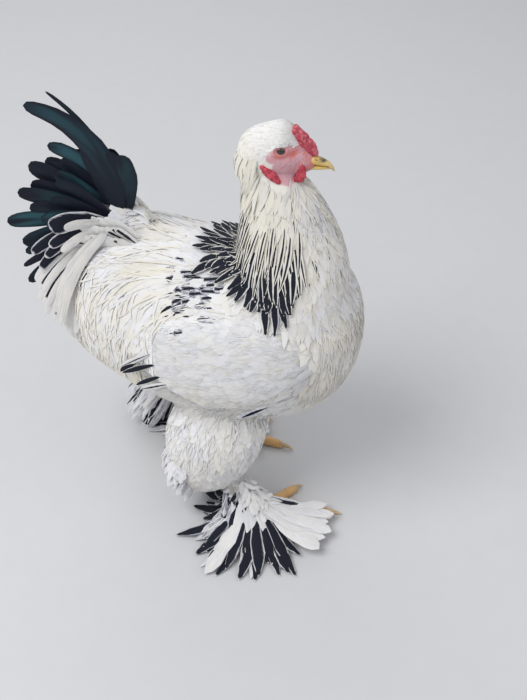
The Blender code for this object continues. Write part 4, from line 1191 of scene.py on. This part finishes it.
def fleshy(name, forms, cell, smooth, material, node, move=None):
    """A red piece round several forms, with its surface moved in and out by move."""
    points, faces = remeshed(name, forms, cell, smooth)
    if move is not None:
        points = points + normals_at(points, faces) * move(points)[:, None]
    piece(name, points, faces, material, node)


# Rows of beads on the comb: how far to the side, how many, their radius, and how far they stand up.
COMB_ROWS = ((0.0, 8, 0.0034, 0.0068), (-0.0062, 7, 0.0032, 0.0046), (0.0062, 7, 0.0032, 0.0046))


def make_comb():
    """The pea comb: a fleshy ridge down the brow with three rows of beads."""
    draw = np.random.default_rng(121)
    forms = []
    for t in np.arange(9) / 8:
        place = (0.019 + 0.0232 * t, 0, 0.5155 - 0.0212 * t - 0.001 * sin(pi * t))
        forms.append(ball_form(place, (0.0062, 0.0092 - 0.0036 * t, 0.0066 - 0.002 * t), 20, 43))
    for across, count, size, stand in COMB_ROWS:
        for t in (np.arange(count) + 0.3) / count:
            place = np.array([0.018 + 0.0244 * t, across * (1 - 0.45 * t), 0.5162 - 0.022 * t])
            place += np.array([0.7, 0, 0.71]) * (stand - 0.0022 * t) + draw.uniform(-0.0006, 0.0006, 3)
            bead = size * draw.uniform(0.8, 1.2) * (0.85 + 0.25 * sin(pi * t))
            forms.append(ball_form(place, (bead * 1.2, bead * 1.1, bead * 0.9), 12, 45))
    flesh = flesh_material("comb_flesh", (0.4, 0.022, 0.05, 1), (0.62, 0.16, 0.19, 1))
    fleshy("comb_flesh", forms, 0.0006, 5, flesh, "comb")


def make_lobes_and_wattles():
    red = flesh_material("wattle_flesh", (0.4, 0.016, 0.04, 1), (0.62, 0.085, 0.12, 1))
    for word, side in SIDES:
        lobe, wattle = [], []
        for t in np.linspace(0, 1, 7):
            full = sin(pi * t)
            lobe.append(ball_form((-0.0085 + 0.015 * t, side * (0.0222 - 0.002 * t), 0.4808 - 0.015 * t),
                                  (0.0052, 0.0034 + 0.0012 * full, 0.0034 + 0.0022 * full), 16, 45))
        for t in np.linspace(0, 1, 6):
            wattle.append(ball_form((0.0305 - 0.0016 * t + 0.002 * sin(3 * t), side * (0.0105 + 0.001 * t),
                                     0.4815 - 0.0155 * t), (0.0046 + 0.0022 * t, 0.0026, 0.0046), 16, -15))
        fleshy("earlobe_skin_" + word, lobe, 0.0007, 5, red, "earlobe_" + word,
               lambda p: 0.0003 * waves(p, 0.0035, 131))
        fleshy("wattle_skin_" + word, wattle, 0.0007, 4, red, "wattle_" + word,
               lambda p: 0.0006 * np.sin(p[:, 0] * 1900 + p[:, 2] * 500))


# Beak: x, middle z, half width, half height; the height where its halves meet, and where it hooks.
UPPER_BEAK = ((0.0345, 0.4856, 0.0082, 0.0056), (0.044, 0.4846, 0.007, 0.0049),
              (0.052, 0.4832, 0.0055, 0.0043), (0.059, 0.4806, 0.0038, 0.0036),
              (0.064, 0.4768, 0.0021, 0.0025), (0.0658, 0.4736, 0.0007, 0.001))
LOWER_BEAK = ((0.0345, 0.4768, 0.007, 0.0036), (0.044, 0.4771, 0.0061, 0.003),
              (0.053, 0.4771, 0.0044, 0.0023), (0.0605, 0.4771, 0.002, 0.0014))
GAPE = 0.4802
HOOK = 0.06


def horn_material(name, base, tip, smudge):
    """Smooth horn, lighter at its tip, with a dark smudge along the ridge, and nostrils painted near black as
    shade in their hollows.
    """
    look = Look(name, 0.34, Coat_Weight=0.2, Coat_Roughness=0.3)
    along, ridge, hole = look.numbers("horn")
    fine = look.noise(700.0)
    colour = look.mix(look.step(along, 0.55, 1.0), base, tip)
    # the nostrils are painted near black as shade in their hollows
    for share, other in ((look.step(fine, 0.4, 0.8, 0.0, 0.25), (0.45, 0.25, 0.1, 1)), (ridge, smudge),
                         (hole, (0.1, 0.03, 0.03, 1))):
        colour = look.mix(share, colour, other)
    return look.finish(colour, fine, 0.15, 0.0004)


def make_beak():
    horn = horn_material("beak_horn", (0.66, 0.46, 0.14, 1), (0.62, 0.48, 0.24, 1), (0.05, 0.05, 0.055, 1))
    for name, rows in (("beak_upper", UPPER_BEAK), ("beak_lower", LOWER_BEAK)):
        points, faces = tube([oval((x, 0, z), Y, Z, half, tall, around=40)
                              for x, z, half, tall in spline(rows, 8)])
        x, y, z = points.T
        z[:] = (np.where(x > HOOK, z, np.maximum(z, GAPE)) if name == "beak_upper"
                else np.minimum(z, GAPE - 0.0004))
        faces = turned_out(points, faces)
        hole = ridge = 0 * x
        if name == "beak_upper":
            # the nostrils: pressed in, and painted dark there as shade in their hollows
            spot = np.stack([(x - 0.0462) / 0.0026, (z - 0.4872 + (x - 0.0462) * 0.3) / 0.0011], 1)
            hole = falloff(np.linalg.norm(spot, axis=1), 1.0) * (np.abs(y) > 0.003)
            puff = beside(points, (0.044, 0, 0.488), (1, 0, 1.2), 0.006)
            points = points + normals_at(points, faces) * (0.0009 * puff - 0.0012 * hole)[:, None]
            ridge = (falloff(np.abs(x - 0.0535), 0.0075) * ease(0.4838, 0.4862, z)
                     * (0.9 + 0.5 * waves(points, 0.004, 141)))
        made = piece(name + "_horn", points, faces, horn, name)
        set_attribute(made.data, "horn", np.stack([(x - 0.0365) / 0.029, np.clip(ridge, 0, 1), hole], 1))


def eye_materials():
    """Dark brown eyes with a black pupil, and dark-edged lids."""
    look = Look("eye", 0.06, Coat_Weight=1.0, Coat_Roughness=0.02)
    ring = look.number("ring")
    iris = look.mix(look.noise(1500.0), (0.012, 0.006, 0.004, 1), (0.035, 0.014, 0.007, 1))
    colour = look.mix(look.step(ring, 0.36, 0.42), (0.003, 0.002, 0.002, 1), iris)
    eye = look.finish(look.mix(look.step(ring, 0.78, 0.92), colour, (0.01, 0.006, 0.005, 1)))
    look = Look("lid", 0.45)
    grain = look.noise(900.0)
    pink = look.mix(grain, (0.5, 0.15, 0.14, 1), (0.66, 0.3, 0.27, 1))
    return eye, look.finish(look.mix(look.number("upper"), pink, (0.1, 0.035, 0.035, 1)), grain, 0.4, 0.0004)


# Points round the eyeball's rings and round the rim of the lids, how many rings the rim has, and
# which points of a ring are darkest, next to the eyeball.
BALL_AROUND = 36
RIM_AROUND = 10
RIM_RINGS = 48
RIM_DARK = (4, 5, 6)
# The opening between the lids: half its width, and its height above and below the middle.
LID_WIDE, LID_HIGH, LID_LOW = 0.0052, 0.0046, 0.0038


def make_eyes():
    """The eyeballs, and the rims of the lids round them."""
    eye, lid = eye_materials()
    for word, side in SIDES:
        centre = EYE * (1, side, 1)
        gaze = unit(np.array([0.36, side, 0.02]))
        level = unit(np.cross(Z, gaze))
        high = np.cross(gaze, level)
        rings, values = [], []
        for polar in np.linspace(0.04, 0.97, 22) * pi:
            size = EYE_RADIUS * sin(polar)
            middle = centre + gaze * EYE_RADIUS * cos(polar)
            rings.append(oval(middle, level, high, size, size, around=BALL_AROUND))
            values += [sin(polar) if polar < pi / 2 else 1.0] * BALL_AROUND
        points, faces = tube(rings)
        made = piece("eyeball_" + word, points, turned_out(points, faces), eye, "eye_" + word)
        set_attribute(made.data, "ring", np.array(values + [0.0, 1.0]) * 1.25)
        rings, values = [], []
        for angle in np.linspace(0, 2 * pi, RIM_RINGS, endpoint=False):
            opening = LID_HIGH if sin(angle) > 0 else LID_LOW
            spot = centre + level * LID_WIDE * cos(angle) + high * opening * sin(angle)
            depth = max(EYE_RADIUS**2 - np.sum((spot - centre)**2), 0) ** 0.5
            spot = spot + gaze * (depth + 0.0001)
            outward = unit(spot - centre - gaze * np.dot(spot - centre, gaze))
            rings.append(oval(spot, outward, gaze, 0.0017, 0.0009, 0.0014, RIM_AROUND))
            values += [max(sin(angle), 0) ** 0.5 * (1 if k in RIM_DARK else 0.55) for k in range(RIM_AROUND)]
        points = np.concatenate(rings)
        ring, k = np.divmod(np.arange(len(points)), RIM_AROUND)
        here, after, j = ring * RIM_AROUND, (ring + 1) % RIM_RINGS * RIM_AROUND, (k + 1) % RIM_AROUND
        faces = np.stack([here + k, here + j, after + j, here + k, after + j, after + k], 1).reshape(-1, 3)
        made = piece("lids_" + word, points, turned_out(points, faces), lid)
        set_attribute(made.data, "upper", np.clip(values, 0, 1))


# Feet: toe, angle from straight ahead, length, root and tip radius, length of the claw.
TOES = (("inner", -53.0, 0.06, 0.0078, 0.0052, 0.017), ("middle", -9.0, 0.089, 0.0082, 0.0054, 0.02),
        ("outer", 32.0, 0.062, 0.0076, 0.0054, 0.016), ("hind", 190.0, 0.038, 0.007, 0.0052, 0.015))
SCUTE = 0.0042
CLAW_AROUND = 18


def leg_material():
    look = Look("leg_skin", 0.5, Coat_Weight=0.1, Coat_Roughness=0.4)
    fine = look.noise(900.0)
    colour = look.mix(look.noise(120.0), (0.6, 0.3, 0.1, 1), (0.68, 0.46, 0.2, 1))
    colour = look.mix(look.step(fine, 0.5, 0.8, 0.0, 0.4), colour, (0.3, 0.16, 0.08, 1))
    return look.finish(colour, fine, 0.3, 0.0005)


def make_feet():
    """Scaly toes on a round pad, each with a claw."""
    scales = leg_material()
    horn = horn_material("claw_horn", (0.5, 0.36, 0.2, 1), (0.66, 0.52, 0.36, 1), (0.2, 0.15, 0.1, 1))
    for word, side in SIDES:
        foot = (FOOT + (STEP_BACK[word], 0, 0)) * (1, side, 0)
        forms = [ball_form(foot + Z * 0.0098, (0.012, 0.0116, 0.01))]
        for toe, angle, length, thick, thin, claw in TOES:
            way = np.array([cos(radians(angle)), sin(radians(angle)) * side, 0])
            t = np.linspace(0, 1, 40)
            radii = (thick + (thin - thick) * t) * (1 + 0.05 * np.cos(t * 5 * pi))
            radii = radii * np.where(t > 0.94, 0.9, 1.0) + 0.00035 * np.abs(np.sin(t * length / SCUTE * pi))
            forms.append(limb_form(foot + way * (length * t)[:, None] + Z * (radii * 0.96)[:, None], radii))
            s = np.linspace(0, 1, 16)
            line = (foot + way * (length - 0.004 + claw * s)[:, None]
                    + Z * (thin * 1.25 - 0.005 * s * s)[:, None])
            radii = thin * 0.6 * (1 - s) ** 0.8 + 0.0007
            line[:, 2] = np.maximum(line[:, 2], radii + 0.0009)
            points, faces = limb_form(line, radii, CLAW_AROUND)
            node = toe + "_claw_" + word
            made = piece(node + "_horn", points, turned_out(points, faces), horn, node)
            along = np.concatenate([np.repeat(s, CLAW_AROUND), [0, 1]])
            set_attribute(made.data, "horn", np.stack([along, 0 * along, 0 * along], 1))
        points, faces = remeshed("foot_skin_" + word, forms, 0.001, 2)
        points[:, 2] = np.maximum(points[:, 2], -SHIFT[2])
        piece("foot_skin_" + word, points, faces, scales, "foot_" + word)


make_comb()
make_lobes_and_wattles()
make_beak()
make_eyes()
make_feet()


# Floor, light and camera

def make_stage():
    grey = (0.62, 0.62, 0.63, 1)
    look = Look("floor", 0.9)
    mottled = look.mix(look.noise(30.0), grey, tuple(0.96 * c for c in grey[:3]) + (1,))
    points = np.array([(-6, -6, 0), (6, -6, 0), (6, 6, 0), (-6, 6, 0)], float)
    mesh = mesh_of("floor", points, np.array([(0, 1, 2), (0, 2, 3)]))
    object_of("floor", mesh, look.finish(mottled))
    world = bpy.data.worlds.new("studio")
    world.use_nodes = True
    background = world.node_tree.nodes["Background"]
    background.inputs["Color"].default_value = (0.94, 0.96, 1.0, 1)
    background.inputs["Strength"].default_value = 0.56
    bpy.context.scene.world = world
    for name, place, size, power in (("key", (-1.1, -1.3, 2.5), 1.7, 52), ("fill", (1.9, -0.6, 1.7), 1.6, 6),
                                     ("rim", (-0.9, 1.9, 2.0), 1.6, 12)):
        light = bpy.data.lights.new(name, "AREA")
        light.size = size
        light.energy = power
        made = object_of(name, light)
        made.location = place
        made.rotation_euler = (Vector((0, 0, 0.25)) - Vector(place)).to_track_quat("-Z", "Y").to_euler()
    bpy.context.scene.view_settings.view_transform = "Standard"


def make_camera():
    around, high = radians(CAMERA_AROUND), radians(CAMERA_HEIGHT)
    back = Vector((sin(around) * cos(high), -cos(around) * cos(high), sin(high)))
    lens = bpy.data.cameras.new("camera")
    lens.lens = CAMERA_LENS
    lens.sensor_width = 36.0
    made = object_of("camera", lens)
    made.location = Vector(CAMERA_PLACE + SHIFT * (1, 1, 0))
    made.rotation_euler = (-back).to_track_quat("-Z", "Y").to_euler()
    bpy.context.scene.camera = made


make_stage()
make_camera()

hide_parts("torso", "neck", "head", "wing_right", "wing_left", "thigh_right", "thigh_left")
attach(skin, "root")
